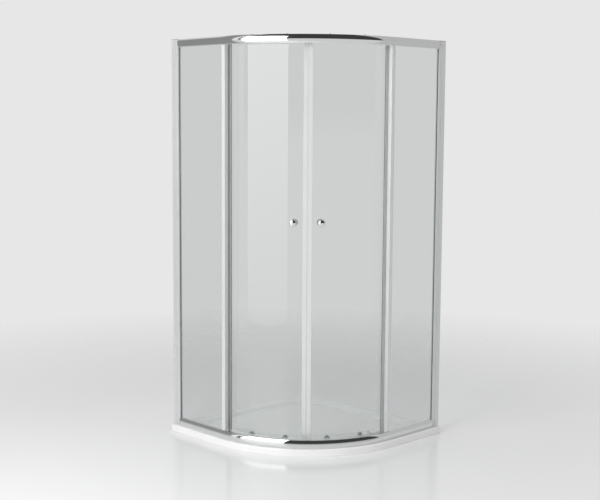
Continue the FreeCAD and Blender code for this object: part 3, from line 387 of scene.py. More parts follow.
def quadrant_sweep_tree():
    """Sweep a section along the quadrant: straight, bent through a quarter turn, straight again.
    Distances along it are measured from the line where the doors meet."""
    tree = bpy.data.node_groups.new("Quadrant sweep", "GeometryNodeTree")
    interface = tree.interface
    for name, kind in (("Section", "NodeSocketObject"), ("Bend radius", "NodeSocketFloat"),
                       ("Start", "NodeSocketFloat"), ("End", "NodeSocketFloat"),
                       ("Centre", "NodeSocketVector"), ("Steps", "NodeSocketInt"),
                       ("Edge radius", "NodeSocketFloat"), ("Material", "NodeSocketMaterial")):
        interface.new_socket(name, in_out="INPUT", socket_type=kind)
    interface.new_socket("Geometry", in_out="OUTPUT", socket_type="NodeSocketGeometry")
    given = new_node(tree, "NodeGroupInput").outputs

    line = wired(tree, "GeometryNodeCurvePrimitiveLine", End=(1, 0, 0))
    line = wired(tree, "GeometryNodeResampleCurve", {"mode": "COUNT"}, Curve=line, Count=given["Steps"])

    share = new_node(tree, "GeometryNodeSplineParameter").outputs["Factor"]
    span = scalar(tree, "SUBTRACT", given["End"], given["Start"])
    gone = scalar(tree, "MULTIPLY", share, span)
    run = scalar(tree, "ADD", gone, given["Start"])
    bend = scalar(tree, "DIVIDE", run, given["Bend radius"])
    bend = scalar(tree, "MAXIMUM", bend, -QUARTER)
    bend = scalar(tree, "MINIMUM", bend, QUARTER)
    arc = scalar(tree, "MULTIPLY", bend, given["Bend radius"])
    rest = scalar(tree, "SUBTRACT", run, arc)
    turn = scalar(tree, "SUBTRACT", bend, QUARTER)
    cosine = scalar(tree, "COSINE", turn, None)
    sine = scalar(tree, "SINE", turn, None)
    out_x = scalar(tree, "MULTIPLY", cosine, given["Bend radius"])
    out_y = scalar(tree, "MULTIPLY", sine, given["Bend radius"])
    back_x = scalar(tree, "MULTIPLY", sine, rest)
    back_y = scalar(tree, "MULTIPLY", cosine, rest)
    x = scalar(tree, "SUBTRACT", out_x, back_x)
    y = scalar(tree, "ADD", out_y, back_y)
    place = wired(tree, "ShaderNodeCombineXYZ", X=x, Y=y)
    moved = new_node(tree, "ShaderNodeVectorMath", operation="ADD")
    link_in_order(tree, moved, place, given["Centre"])
    line = wired(tree, "GeometryNodeSetPosition", Geometry=line, Position=moved.outputs[0])
    line = wired(tree, "GeometryNodeSetCurveNormal", {"mode": "Z_UP"}, Curve=line)
    stored = {"data_type": "FLOAT", "domain": "POINT"}
    line = wired(tree, "GeometryNodeStoreNamedAttribute", stored, Name="along", Geometry=line, Value=run)

    section = new_node(tree, "GeometryNodeObjectInfo")
    feed(tree, section, Object=given["Section"])
    corner = wired(tree, "GeometryNodeInputRadius")
    rounding = scalar(tree, "MULTIPLY", corner, given["Edge radius"])
    outline = wired(tree, "GeometryNodeFilletCurve", {"mode": "POLY"}, Curve=section.outputs["Geometry"],
                    Count=2, Limit_Radius=True, Radius=rounding)
    length = new_node(tree, "GeometryNodeSplineParameter").outputs["Length"]
    outline = wired(tree, "GeometryNodeStoreNamedAttribute", stored, Name="around", Geometry=outline,
                    Value=length)

    solid = wired(tree, "GeometryNodeCurveToMesh", Curve=line, Profile_Curve=outline, Fill_Caps=True)
    solid = wired(tree, "GeometryNodeRealizeInstances", Geometry=solid)
    solid = wired(tree, "GeometryNodeSetMaterial", Geometry=solid, Material=given["Material"])
    feed(tree, new_node(tree, "NodeGroupOutput"), Geometry=solid)
    return tree


def set_inputs(modifier, **values):
    """Set a Geometry Nodes modifier's inputs by their names' identifiers."""
    wanted = {name.replace("_", " ").lower(): value for name, value in values.items()}
    for socket in modifier.node_group.interface.items_tree:
        if socket.in_out == "INPUT" and socket.name.lower() in wanted:
            modifier[socket.identifier] = wanted[socket.name.lower()]


def section_curve(name, outline):
    """A closed poly curve through (outwards, up) points. A point's radius is 1 where the outline
    has a corner, which the sweep rounds, and 0 where it only follows a curve."""
    curve = bpy.data.curves.new(name, "CURVE")
    curve.dimensions = "2D"
    spline = curve.splines.new("POLY")
    spline.points.add(len(outline) - 1)
    places = [Vector(place) for place in outline]
    for number, point in enumerate(spline.points):
        before, place, after = places[number - 1], places[number], places[(number + 1) % len(places)]
        turn = (place - before).angle(after - place)
        point.co = (place.x, -place.y, 0, 1)
        point.radius = 1.0 if turn > math.radians(15) else 0.0
    spline.use_cyclic_u = True
    return add_object(name, curve)


def swept(name, outline, radius, start, end, level, material, steps, edge=0.0003):
    """Sweep an outline, given outwards of a radius and up from a level, along the quadrant."""
    tree = bpy.data.node_groups.get("Quadrant sweep") or quadrant_sweep_tree()
    section = section_curve(name + "_section", outline)
    host = add_object(name + "_draft", bpy.data.meshes.new(name + "_draft"))
    modifier = host.modifiers.new("Sweep", "NODES")
    modifier.node_group = tree
    centre = arc_centre()
    set_inputs(modifier, section=section, bend_radius=radius, start=start, end=end,
               centre=(centre.x, centre.y, level), edge_radius=edge, material=material, steps=steps)
    bpy.context.view_layer.update()
    mesh = plain_mesh(host)
    bpy.data.objects.remove(section)
    bm = bmesh.new()
    bm.from_mesh(mesh)
    bmesh.ops.recalc_face_normals(bm, faces=bm.faces)
    bm.to_mesh(mesh)
    bm.free()
    return finish_object(name, mesh, material)


def arc_centre():
    """The centre of the quadrant's bend."""
    radius = bpy.context.scene.enclosure_sizes.bend_radius
    return Vector((TRAY_HIGH.x - radius, TRAY_LOW.y + radius, 0))


# --- shader groups

def effect_group(name, inputs, outputs):
    """An empty shader group with named float inputs and typed outputs."""
    tree = bpy.data.node_groups.new(name, "ShaderNodeTree")
    tree.interface.new_socket("Vector", in_out="INPUT", socket_type="NodeSocketVector")
    for label, value in inputs.items():
        socket = tree.interface.new_socket(label, in_out="INPUT", socket_type="NodeSocketFloat")
        socket.default_value = value
    for label, kind in outputs.items():
        tree.interface.new_socket(label, in_out="OUTPUT", socket_type=kind)
    given = new_node(tree, "NodeGroupInput")
    result = new_node(tree, "NodeGroupOutput")
    return tree, given.outputs, result.inputs


def noise(tree, vector, scale, detail, roughness=0.5):
    """Noise between 0 and 1."""
    node = new_node(tree, "ShaderNodeTexNoise")
    feed(tree, node, Vector=vector, Scale=scale, Detail=detail, Roughness=roughness)
    return node.outputs["Fac"]


def remap(tree, value, low, high, to_low, to_high):
    """A value moved from one range to another and held inside it."""
    node = new_node(tree, "ShaderNodeMapRange")
    feed(tree, node, Value=value, From_Min=low, From_Max=high, To_Min=to_low, To_Max=to_high)
    return node.outputs["Result"]


def drawn_grain_group():
    """Fine lines that drawing through a die leaves: noise squeezed across the run of the profile."""
    tree, given, result = effect_group(
        "Drawn grain", {"Line width": 0.0006, "Line length": 0.4, "Strength": 1.0},
        {"Lines": "NodeSocketFloat", "Sheen": "NodeSocketFloat"})
    split = split_vector(tree, given["Vector"])
    across = scalar(tree, "DIVIDE", split["X"], given["Line width"])
    over = scalar(tree, "DIVIDE", split["Y"], given["Line width"])
    run = scalar(tree, "DIVIDE", split["Z"], given["Line length"])
    squeezed = wired(tree, "ShaderNodeCombineXYZ", X=across, Y=over, Z=run)
    lines = noise(tree, squeezed, 1.0, 3)
    broad = noise(tree, squeezed, 0.12, 2)
    both = scalar(tree, "MULTIPLY", lines, given["Strength"])
    tree.links.new(both, result["Lines"])
    tree.links.new(remap(tree, broad, 0.35, 0.65, 0.0, 1.0), result["Sheen"])
    return tree


def handling_marks_group():
    """Soft smudges and dried spots, as a mask between 0 and 1."""
    tree, given, result = effect_group(
        "Handling marks", {"Smudge size": 0.06, "Spot size": 0.004, "Amount": 0.4},
        {"Mask": "NodeSocketFloat", "Spots": "NodeSocketFloat"})
    wide = scalar(tree, "DIVIDE", 1.0, given["Smudge size"])
    fine = scalar(tree, "DIVIDE", 1.0, given["Spot size"])
    clouds = noise(tree, given["Vector"], wide, 4, 0.6)
    smudge = remap(tree, clouds, 0.48, 0.72, 0.0, 1.0)
    cells = new_node(tree, "ShaderNodeTexVoronoi", feature="F1")
    feed(tree, cells, Vector=given["Vector"], Scale=fine)
    dots = remap(tree, cells.outputs["Distance"], 0.10, 0.22, 1.0, 0.0)
    patchy = remap(tree, clouds, 0.5, 0.6, 0.0, 1.0)
    spots = scalar(tree, "MULTIPLY", dots, patchy)
    both = scalar(tree, "MAXIMUM", smudge, spots)
    tree.links.new(scalar(tree, "MULTIPLY", both, given["Amount"]), result["Mask"])
    tree.links.new(scalar(tree, "MULTIPLY", spots, given["Amount"]), result["Spots"])
    return tree


def moulded_skin_group():
    """The faint orange peel and mottling of a moulded surface."""
    tree, given, result = effect_group(
        "Moulded skin", {"Peel size": 0.004, "Mottle size": 0.05},
        {"Height": "NodeSocketFloat", "Mottle": "NodeSocketFloat"})
    fine = scalar(tree, "DIVIDE", 1.0, given["Peel size"])
    wide = scalar(tree, "DIVIDE", 1.0, given["Mottle size"])
    tree.links.new(noise(tree, given["Vector"], fine, 2), result["Height"])
    mottle = noise(tree, given["Vector"], wide, 3)
    tree.links.new(remap(tree, mottle, 0.3, 0.7, 0.0, 1.0), result["Mottle"])
    return tree


GROUPS = {"Drawn grain": drawn_grain_group, "Handling marks": handling_marks_group,
          "Moulded skin": moulded_skin_group}


def effect(tree, name, vector, **values):
    """Place one of the shared effects in a material, with its own values."""
    node = new_node(tree, "ShaderNodeGroup")
    node.node_tree = bpy.data.node_groups.get(name) or GROUPS[name]()
    feed(tree, node, Vector=vector, **{label.capitalize(): value for label, value in values.items()})
    return node.outputs


def handling_marks(tree, vector, smudge_size, spot_size, amount):
    """The smudges and spots of a material, with the sizes of both in metres."""
    return effect(tree, "Handling marks", vector, smudge_size=smudge_size, spot_size=spot_size,
                  amount=amount)


# --- materials

def new_material(name):
    """A node material: its tree, its Principled shader and Object coordinates."""
    material = bpy.data.materials.new(name)
    tree = bare_tree(material)
    shader = new_node(tree, "ShaderNodeBsdfPrincipled")
    feed(tree, new_node(tree, "ShaderNodeOutputMaterial"), Surface=shader.outputs[0])
    coordinates = new_node(tree, "ShaderNodeTexCoord").outputs["Object"]
    return material, tree, shader, coordinates


def tint(tree, mask, colour, other):
    """A colour that moves to another where the mask is white."""
    node = new_node(tree, "ShaderNodeMix", data_type="RGBA")
    feed(tree, node, Factor=mask, A=(*colour, 1), B=(*other, 1))
    return node.outputs["Result"]


def bump(tree, height, distance, shader, strength):
    """Let a height tilt the shader's normal."""
    node = new_node(tree, "ShaderNodeBump")
    feed(tree, node, Strength=strength, Distance=distance, Height=height)
    feed(tree, shader, Normal=node.outputs[0])


def shaded(colour, share):
    """A colour at a share of its brightness."""
    return tuple(channel * share for channel in colour)


def drawn_aluminium(name, roughness, metallic=1.0, swept_run=False):
    """Polished or satin anodised aluminium, with drawing lines along its run."""
    finishes = bpy.context.scene.enclosure_finishes
    material, tree, shader, coordinates = new_material(name)
    vector = coordinates
    if swept_run:
        joined = new_node(tree, "ShaderNodeCombineXYZ")
        for label, socket in (("around", "X"), ("along", "Z")):
            read = new_node(tree, "ShaderNodeAttribute", attribute_name=label)
            tree.links.new(read.outputs["Fac"], joined.inputs[socket])
        vector = joined.outputs[0]
    grain = effect(tree, "Drawn grain", vector, line_width=0.0012, line_length=0.9, strength=1.0)
    marks = handling_marks(tree, coordinates, 0.09, 0.006, finishes.marks)
    colour = tint(tree, grain["Sheen"], finishes.aluminium, shaded(finishes.aluminium, 0.96))
    lined = remap(tree, grain["Lines"], 0.3, 0.7, roughness * 0.9, roughness * 1.1)
    marked = scalar(tree, "MULTIPLY", marks["Mask"], 0.12)
    rough = scalar(tree, "ADD", lined, marked)
    feed(tree, shader, Base_Color=colour, Roughness=rough, Metallic=metallic)
    bump(tree, grain["Lines"], 0.00001, shader, 0.15)
    return material


def plated_chrome(name, roughness=0.05):
    """Bright chrome plate with faint smudges."""
    finishes = bpy.context.scene.enclosure_finishes
    material, tree, shader, coordinates = new_material(name)
    marks = handling_marks(tree, coordinates, 0.012, 0.002, finishes.marks)
    colour = tint(tree, marks["Mask"], finishes.chrome, shaded(finishes.chrome, 0.86))
    rough = remap(tree, marks["Mask"], 0.0, 1.0, roughness, roughness + 0.25)
    feed(tree, shader, Base_Color=colour, Roughness=rough, Metallic=1.0)
    return material


def clear_glass(name):
    """Toughened glass, faintly green and darkened by painted shade, with dried spots; it lets the lamps'
    light through.
    """
    finishes = bpy.context.scene.enclosure_finishes
    material, tree, shader, coordinates = new_material(name)
    marks = handling_marks(tree, coordinates, 0.12, 0.005, 1.0)
    # The base colour holds the glass's faint green and painted shade for the shaded inside seen through the
    # pane.
    colour = tint(tree, marks["Spots"], finishes.glass, shaded(finishes.glass, 0.985))
    rough = remap(tree, marks["Spots"], 0.0, 1.0, 0.0, 0.03)
    feed(tree, shader, Base_Color=colour, Roughness=rough, Transmission_Weight=1.0, IOR=1.5)
    through = wired(tree, "ShaderNodeBsdfTransparent", Color=(0.93, 0.955, 0.95, 1))
    shadow = new_node(tree, "ShaderNodeLightPath").outputs["Is Shadow Ray"]
    mixed = new_node(tree, "ShaderNodeMixShader")
    link_in_order(tree, mixed, shadow, shader.outputs[0], through)
    output = next(node for node in tree.nodes if node.type == "OUTPUT_MATERIAL")
    feed(tree, output, Surface=mixed.outputs[0])
    return material


def moulded(name, colour, roughness, coat=0.0, peel=0.003, depth=0.00003):
    """A moulded plastic or gel coat with a faint peel and mottling."""
    material, tree, shader, coordinates = new_material(name)
    skin = effect(tree, "Moulded skin", coordinates, peel_size=peel, mottle_size=peel * 14)
    marks = handling_marks(tree, coordinates, 0.08, 0.004, 0.25)
    mottled = tint(tree, skin["Mottle"], colour, shaded(colour, 0.97))
    even = remap(tree, skin["Mottle"], 0.0, 1.0, roughness * 0.88, roughness * 1.12)
    worn = scalar(tree, "MULTIPLY", marks["Mask"], 0.12)
    rough = scalar(tree, "ADD", even, worn)
    feed(tree, shader, Base_Color=mottled, Roughness=rough, Coat_Weight=coat)
    bump(tree, skin["Height"], depth, shader, 0.6)
    return material


def clear_vinyl(name, colour):
    """Soft milky vinyl that lets about half of what is behind it show."""
    material, tree, shader, coordinates = new_material(name)
    skin = effect(tree, "Moulded skin", coordinates, peel_size=0.002, mottle_size=0.02)
    milky = tint(tree, skin["Mottle"], colour, shaded(colour, 0.94))
    rough = remap(tree, skin["Mottle"], 0.0, 1.0, 0.22, 0.34)
    cover = remap(tree, skin["Mottle"], 0.0, 1.0, 0.42, 0.50)
    feed(tree, shader, Base_Color=milky, Roughness=rough, Alpha=cover)
    return material


MATERIALS = {
    "rail": lambda: drawn_aluminium("Rail aluminium", 0.05, swept_run=True),
    "wall_profile": lambda: drawn_aluminium("Wall profile aluminium", 0.34, metallic=0.6),
    "upright": lambda: drawn_aluminium("Upright aluminium", 0.36, metallic=0.5),
    "chrome": lambda: plated_chrome("Knob chrome"),
    "drain_cover": lambda: plated_chrome("Drain cover chrome", 0.07),
    "glass": lambda: clear_glass("Shower glass"),
    "tray": lambda: moulded("Tray gel coat", bpy.context.scene.enclosure_finishes.gel_coat, 0.16,
                            coat=0.4, peel=0.006, depth=0.00002),
    "drain_ring": lambda: moulded("Drain ring plastic", (0.78, 0.78, 0.77), 0.3),
    "grey_plastic": lambda: moulded("Grey plastic", (0.24, 0.245, 0.25), 0.42),
    "fitting": lambda: moulded("Silver grey plastic", (0.48, 0.49, 0.50), 0.3),
    "slider": lambda: moulded("Pale acetal", (0.62, 0.62, 0.61), 0.36),
    "roller": lambda: moulded("White acetal", (0.80, 0.80, 0.78), 0.32),
    "black_rubber": lambda: moulded("Black rubber", (0.018, 0.018, 0.018), 0.65, peel=0.0015),
    "grey_rubber": lambda: moulded("Grey rubber", (0.14, 0.145, 0.15), 0.6, peel=0.0015),
    "clear_seal": lambda: clear_vinyl("Clear vinyl", (0.80, 0.82, 0.82)),
    "magnet_strip": lambda: moulded("Magnet strip vinyl", (0.62, 0.63, 0.63), 0.35),
    "screw_steel": lambda: plated_chrome("Screw steel", 0.22),
}


@functools.cache
def finish(slot):
    """The material of one of the record's slots, made when it is first asked for."""
    return MATERIALS[slot]()


# --- tray

def tray_ring(wall_inset, front_inset, back_round, end_round):
    """Points of the tray's outline drawn in by two insets, always the same number of them."""
    sizes = bpy.context.scene.enclosure_sizes
    centre = arc_centre()
    wall = TRAY_HIGH.y - centre.y - wall_inset
    arc = sizes.bend_radius - front_inset
    points = []

    def corner(x, y, radius, start):
        for step in range(17):
            turn = start + math.pi / 2 * step / 16
            points.append((x + radius * math.cos(turn), y + radius * math.sin(turn)))

    def straight_run(start, end):
        for step in range(1, 8):
            points.append(tuple(a + (b - a) * step / 8 for a, b in zip(start, end)))

    corner(-wall + end_round, -arc + end_round, end_round, math.pi)
    straight_run(points[-1], (0, -arc))
    for step in range(73):
        turn = -math.pi / 2 + math.pi / 2 * step / 72
        points.append((arc * math.cos(turn), arc * math.sin(turn)))
    straight_run(points[-1], (arc, wall - end_round))
    corner(arc - end_round, wall - end_round, end_round, 0)
    straight_run(points[-1], (-wall + back_round, wall))
    corner(-wall + back_round, wall - back_round, back_round, math.pi / 2)
    straight_run(points[-1], (-wall, -arc + end_round))
    return [(centre.x + x, centre.y + y) for x, y in points]


def tray_piece(material):
    """The tray as rings of its outline: side, rounded edge, rim, dished basin, drain recess."""
    sizes = bpy.context.scene.enclosure_sizes
    top = TRAY_HIGH.z
    floor = top - sizes.basin_depth
    small = 0.0015
    ease = 0.001
    bm = bmesh.new()

    def ring(points, level):
        return [bm.verts.new((x, y, level)) for x, y in points]

    rings = [ring(tray_ring(ease, ease, small, small), TRAY_LOW.z),
             ring(tray_ring(0, 0, small, small), TRAY_LOW.z + ease)]
    for step in range(7):
        turn = math.pi / 2 * step / 6
        front = sizes.front_edge * (1 - math.cos(turn))
        wall = small * (1 - math.cos(turn))
        rings.append(ring(tray_ring(wall, front, small, small),
                          top - sizes.front_edge * (1 - math.sin(turn))))
    for step in range(17):
        share = step / 16
        inset = sizes.basin_slope * share
        drop = sizes.basin_depth * share * share * (3 - 2 * share)
        rings.append(ring(tray_ring(sizes.wall_rim + inset, sizes.front_rim + inset,
                                    sizes.back_round - inset, sizes.end_round - inset), top - drop))
    for low, high in zip(rings, rings[1:]):
        for number in range(len(low)):
            after = (number + 1) % len(low)
            bm.faces.new((low[number], low[after], high[after], high[number]))

    drain = (COVER_LOW + COVER_HIGH) / 2
    ring_clear = 0.0006
    seat = (RING_HIGH.x - RING_LOW.x) / 2 + ring_clear
    bore = 0.045
    circle_steps = 96
    circles = []
    for radius, level in ((seat + ease, floor), (seat, floor - ease), (seat, RING_LOW.z),
                          (bore, RING_LOW.z), (bore, TRAY_LOW.z)):
        circles.append(ring([(drain.x + radius * math.cos(math.tau * step / circle_steps),
                              drain.y + radius * math.sin(math.tau * step / circle_steps))
                             for step in range(circle_steps)], level))
    for low, high in zip(circles, circles[1:]):
        for number in range(circle_steps):
            after = (number + 1) % circle_steps
            bm.faces.new((low[number], high[number], high[after], low[after]))

    def fill_between(outer, inner):
        edges = []
        for loop in (outer, inner):
            for number, vertex in enumerate(loop):
                edge = bm.edges.get((vertex, loop[(number + 1) % len(loop)]))
                edges.append(edge or bm.edges.new((vertex, loop[(number + 1) % len(loop)])))
        bmesh.ops.triangle_fill(bm, use_beauty=True, edges=edges)

    fill_between(rings[-1], circles[0])
    fill_between(rings[0], circles[-1])
    bmesh.ops.remove_doubles(bm, verts=bm.verts, dist=1e-6)
    bmesh.ops.recalc_face_normals(bm, faces=bm.faces)
    stand_for(mesh_object("tray", bm, material, sharp=35), "shower_tray")


# --- rails

def rail_outline(height):
    """The rail's outline (outwards of the crown, up from its open edge), crown first."""
    sizes = bpy.context.scene.enclosure_sizes
    wall = sizes.rail_wall
    crown = sizes.rail_crown
    chamber = 0.009
    pane_clear = 0.002
    groove_depth = 0.018
    track_width = 0.0165
    groove_in = chamber + wall
    groove_out = groove_in + sizes.pane + pane_clear
    track_in = groove_out + wall
    track_out = track_in + track_width
    depth = track_out + wall
    track = 0.007
    lip = 0.004
    face = arc_outline((-crown, height), (-crown, 0), crown, 16)
    return [tuple(point) for point in face] + [
        (-groove_in, 0), (-groove_in, groove_depth), (-groove_out, groove_depth), (-groove_out, wall),
        (-track_in, wall), (-track_in, track), (-depth, track), (-depth, track + wall + lip),
        (-track_out, track + wall + lip), (-track_out, track + wall), (-track_in, track + wall),
        (-track_in, height),
    ]


def rail_piece(name, node, low, high, flip, material):
    """One rail, swept from one end plate to the other."""
    sizes = bpy.context.scene.enclosure_sizes
    radius = high.x - arc_centre().x
    height = high.z - low.z
    outline = rail_outline(height)
    if flip:
        outline = [(x, height - y) for x, y in outline]
    run = high.y - arc_centre().y
    reach = radius * QUARTER + run
    piece = swept(name, outline, radius, -reach, reach, low.z, material, steps=sizes.sweep_steps * 2)
    stand_for(piece, node)


# --- doors

def along_door(node, name, outline, material, edge):
    """Sweep an outline, given outwards of the pane's middle and up from its foot, for a node."""
    centre = arc_centre()
    radius = GLASS_HIGH.x - centre.x - bpy.context.scene.enclosure_sizes.pane / 2
    turns = [math.atan2(corner.co.y - centre.y, corner.co.x - centre.x) + QUARTER
             for corner in NODES[node].data.vertices]
    piece = swept(name, outline, radius, min(turns) * radius, max(turns) * radius, GLASS_LOW.z,
                  material, edge=edge, steps=120)
    stand_for(piece, node)


def door_pane(side, material):
    """A curved pane with ground edges, swept like the rails."""
    half = bpy.context.scene.enclosure_sizes.pane / 2
    height = GLASS_HIGH.z - GLASS_LOW.z
    outline = [(half, height), (half, 0), (-half, 0), (-half, height)]
    along_door(f"{side}_door_glass", f"{side}_door_pane", outline, material, 0.0007)


def drip_strip(side, material):
    """The strip under a pane: a leg outside the glass, a foot below it and a fin."""
    half = bpy.context.scene.enclosure_sizes.pane / 2
    wall = 0.0011
    seat = half + 0.0003
    fin = SEAL_LOW.z - GLASS_LOW.z
    leg = SEAL_HIGH.z - GLASS_LOW.z
    outline = [(-half, -wall), (half - wall, -wall), (half - wall, fin), (half, fin),
               (seat + wall, -wall), (seat + wall, leg), (seat, leg), (seat, 0), (-half, 0)]
    along_door(f"{side}_drip_seal", f"{side}_drip_strip", outline, material, 0.0002)


def knob_profile(reach, radius):
    """A knob's outline from the glass: foot, waisted neck, flare, rim and domed face."""
    neck = radius * 0.5
    bore = 0.0031
    bore_depth = 0.013
    foot = 0.003
    rounding = 0.0012
    rim = radius - rounding
    outline = [(bore_depth, 0.0), (bore_depth, bore), (0.0, bore), (0.0, neck), (foot, neck)]
    for step in range(1, 13):
        share = step / 12
        outline.append((reach * (0.14 + 0.48 * share), neck + (radius - neck) * share ** 2.4))
    for step in range(1, 9):
        turn = math.pi / 2 * step / 8
        outline.append((reach * (0.66 + 0.10 * math.sin(turn)), radius - rounding * (1 - math.cos(turn))))
    for step in range(1, 17):
        turn = math.pi / 2 * step / 16
        outline.append((reach * (0.76 + 0.24 * math.sin(turn)), rim * math.cos(turn) ** 0.9))
    outline[-1] = (reach, 0.0)
    return outline


def knob_piece(side, way, name, out, material):
    """One knob, turned about the line from the bend's centre through it."""
    low, high = node_box(f"{side}_{name}")
    centre = arc_centre()
    middle = (low + high) / 2
    turn = math.radians(KNOB_TURN) * way - QUARTER
    axis = Vector((math.cos(turn), math.sin(turn), 0))
    radius = (high.z - low.z) / 2
    reaches = [(v.co - centre).dot(axis) for v in NODES[f"{side}_{name}"].data.vertices]
    near, far = (min(reaches), max(reaches)) if out > 0 else (max(reaches), min(reaches))
    foot = Vector((centre.x, centre.y, middle.z)) + axis * near
    piece = lathe(f"{side}_{name}_turned", knob_profile(abs(far - near), radius), foot, axis * out, material)
    stand_for(piece, f"{side}_{name}")


# --- operators

class ENCLOSURE_OT_tray(bpy.types.Operator):
    """Make the gel-coated tray with its dished basin."""
    bl_idname = "enclosure.tray"
    bl_label = "Tray"

    def execute(self, context):
        tray_piece(finish("tray"))
        return {"FINISHED"}


class ENCLOSURE_OT_drain(bpy.types.Operator):
    """Make the drain's ring and its domed cover."""
    bl_idname = "enclosure.drain"
    bl_label = "Drain"

    def execute(self, context):
        eased("drain_ring", "drain_ring")
        middle = (COVER_LOW + COVER_HIGH) / 2
        radius = (COVER_HIGH.x - COVER_LOW.x) / 2
        rise = 0.008
        edge = COVER_HIGH.z - rise
        sheet = 0.0016
        stem = 0.006
        stem_top = 0.0045
        lip = 0.002
        roll = 0.0006
        foot = COVER_LOW.z - edge
        dome = (radius * radius + rise * rise) / (2 * rise)
        outline = [(foot, 0.0), (foot, stem), (stem_top, stem)]
        for step in range(1, 25):
            reach = stem + (radius - lip - stem) * step / 24
            outline.append((rise - sheet - dome + math.sqrt(dome * dome - reach * reach), reach))
        rolled_edge = ((0.0002, 0.0012), (0.0, 0.0005), (roll, 0.0))  # up, and inwards of the rim
        outline += [(up, radius - inwards) for up, inwards in rolled_edge]
        for step in range(1, 33):
            reach = (radius - roll) * (1 - step / 32)
            outline.append((rise - dome + math.sqrt(dome * dome - reach * reach), reach))
        outline[-1] = (rise, 0.0)
        piece = lathe("drain_dome", outline, (middle.x, middle.y, edge), (0, 0, 1),
                      finish("drain_cover"), steps=128, sharp=50)
        stand_for(piece, "drain_cover")
        return {"FINISHED"}


class ENCLOSURE_OT_rails(bpy.types.Operator):
    """Sweep the bent rails and finish what closes their ends."""
    bl_idname = "enclosure.rails"
    bl_label = "Rails"

    def execute(self, context):
        rail_piece("upper_rail", "top_rail", RAIL_LOW, RAIL_HIGH, False, finish("rail"))
        rail_piece("lower_rail", "bottom_rail", LOWER_RAIL_LOW, LOWER_RAIL_HIGH, True, finish("rail"))
        eased("top_rail_end_plates", "grey_plastic", 0.0002)
        eased("bottom_rail_end_plates", "grey_plastic", 0.0002)
        eased("door_buffers", "black_rubber", 0.001, 3)
        return {"FINISHED"}


class ENCLOSURE_OT_side_panels(bpy.types.Operator):
    """Finish the wall profiles, the fixed panes and their posts."""
    bl_idname = "enclosure.side_panels"
    bl_label = "Side panels"

    def execute(self, context):
        for side, _ in HALVES:
            eased(f"{side}_wall_channel", "wall_profile", 0.0003)
            eased(f"{side}_jamb", "wall_profile", 0.0003)
            eased(f"{side}_glazing_gasket", "grey_rubber", 0.0002)
            eased(f"{side}_fixed_glass", "glass", 0.0006)
            eased(f"{side}_end_post", "upright", 0.0003)
        eased("profile_caps", "grey_plastic", 0.0005)
        eased("frame_screws", "screw_steel", 0.0002)
        return {"FINISHED"}


class ENCLOSURE_OT_doors(bpy.types.Operator):
    """Sweep the curved panes and finish the doors' uprights and seals."""
    bl_idname = "enclosure.doors"
    bl_label = "Doors"

    def execute(self, context):
        for side, _ in HALVES:
            door_pane(side, finish("glass"))
            drip_strip(side, finish("clear_seal"))
            eased(f"{side}_meeting_profile", "upright", 0.0002)
            eased(f"{side}_magnet_seal", "magnet_strip", 0.0003)
            eased(f"{side}_trailing_profile", "upright", 0.0002)
            eased(f"{side}_fin_seal", "clear_seal", 0.0002)
        return {"FINISHED"}


class ENCLOSURE_OT_knobs(bpy.types.Operator):
    """Turn the four knobs and finish their washers."""
    bl_idname = "enclosure.knobs"
    bl_label = "Knobs"

    def execute(self, context):
        for side, way in HALVES:
            knob_piece(side, way, "outer_knob", 1, finish("chrome"))
            knob_piece(side, way, "inner_knob", -1, finish("chrome"))
            eased(f"{side}_knob_washers", "clear_seal", 0.0001)
        return {"FINISHED"}


class ENCLOSURE_OT_running_gear(bpy.types.Operator):
    """Finish the hangers, guides, sliders, rollers and fasteners."""
    bl_idname = "enclosure.running_gear"
    bl_label = "Running gear"

    def execute(self, context):
        for side, _ in HALVES:
            eased(f"{side}_door_fasteners", "screw_steel", 0.0002)
            for place in ("lead", "trail"):
                eased(f"{side}_{place}_hanger", "fitting", 0.0006, 3)
                eased(f"{side}_{place}_guide", "fitting", 0.0006, 3)
                eased(f"{side}_{place}_slider", "slider", 0.0004, 2)
                for level in ("top", "bottom"):
                    eased(f"{side}_{place}_{level}_wheel", "roller", 0.0003, 2)
        return {"FINISHED"}


def soft_light(name, place, target, size, power):
    """A large lamp that lights the object but isn't mirrored in it."""
    data = bpy.data.lights.new(name, "AREA")
    data.shape = "RECTANGLE"
    data.size, data.size_y = size
    data.energy = power
    lamp = add_object(name, data)
    lamp.location = place
    lamp.rotation_euler = (Vector(target) - Vector(place)).to_track_quat("-Z", "Y").to_euler()
    lamp.visible_glossy = False
    lamp.visible_transmission = False


def reflected_card(name, place, size, brightness, lower_share):
    """An upright card that only shows in reflections, facing the enclosure. Its lower edge has a
    share of its brightness."""
    centre = arc_centre()
    middle = Vector(place)
    inwards = (Vector((centre.x, centre.y, middle.z)) - middle).normalized()
    across = inwards.cross(Vector((0, 0, 1))).normalized()
    bm = bmesh.new()
    corners = []
    for x, z in ((-1, -1), (1, -1), (1, 1), (-1, 1)):
        corners.append(bm.verts.new(middle + across * x * size[0] / 2 + Vector((0, 0, z * size[1] / 2))))
    bm.faces.new(corners)
    material = bpy.data.materials.new(name)
    tree = bare_tree(material)
    level = split_vector(tree, new_node(tree, "ShaderNodeTexCoord").outputs["Object"])["Z"]
    low = middle.z - size[1] / 2
    strength = remap(tree, level, low, low + size[1] * 0.6, brightness * lower_share, brightness)
    glow = wired(tree, "ShaderNodeEmission", Strength=strength)
    feed(tree, new_node(tree, "ShaderNodeOutputMaterial"), Surface=glow)
    card = mesh_object(name, bm, material)
    for ray in ("camera", "diffuse", "transmission", "volume_scatter", "shadow"):
        setattr(card, "visible_" + ray, False)


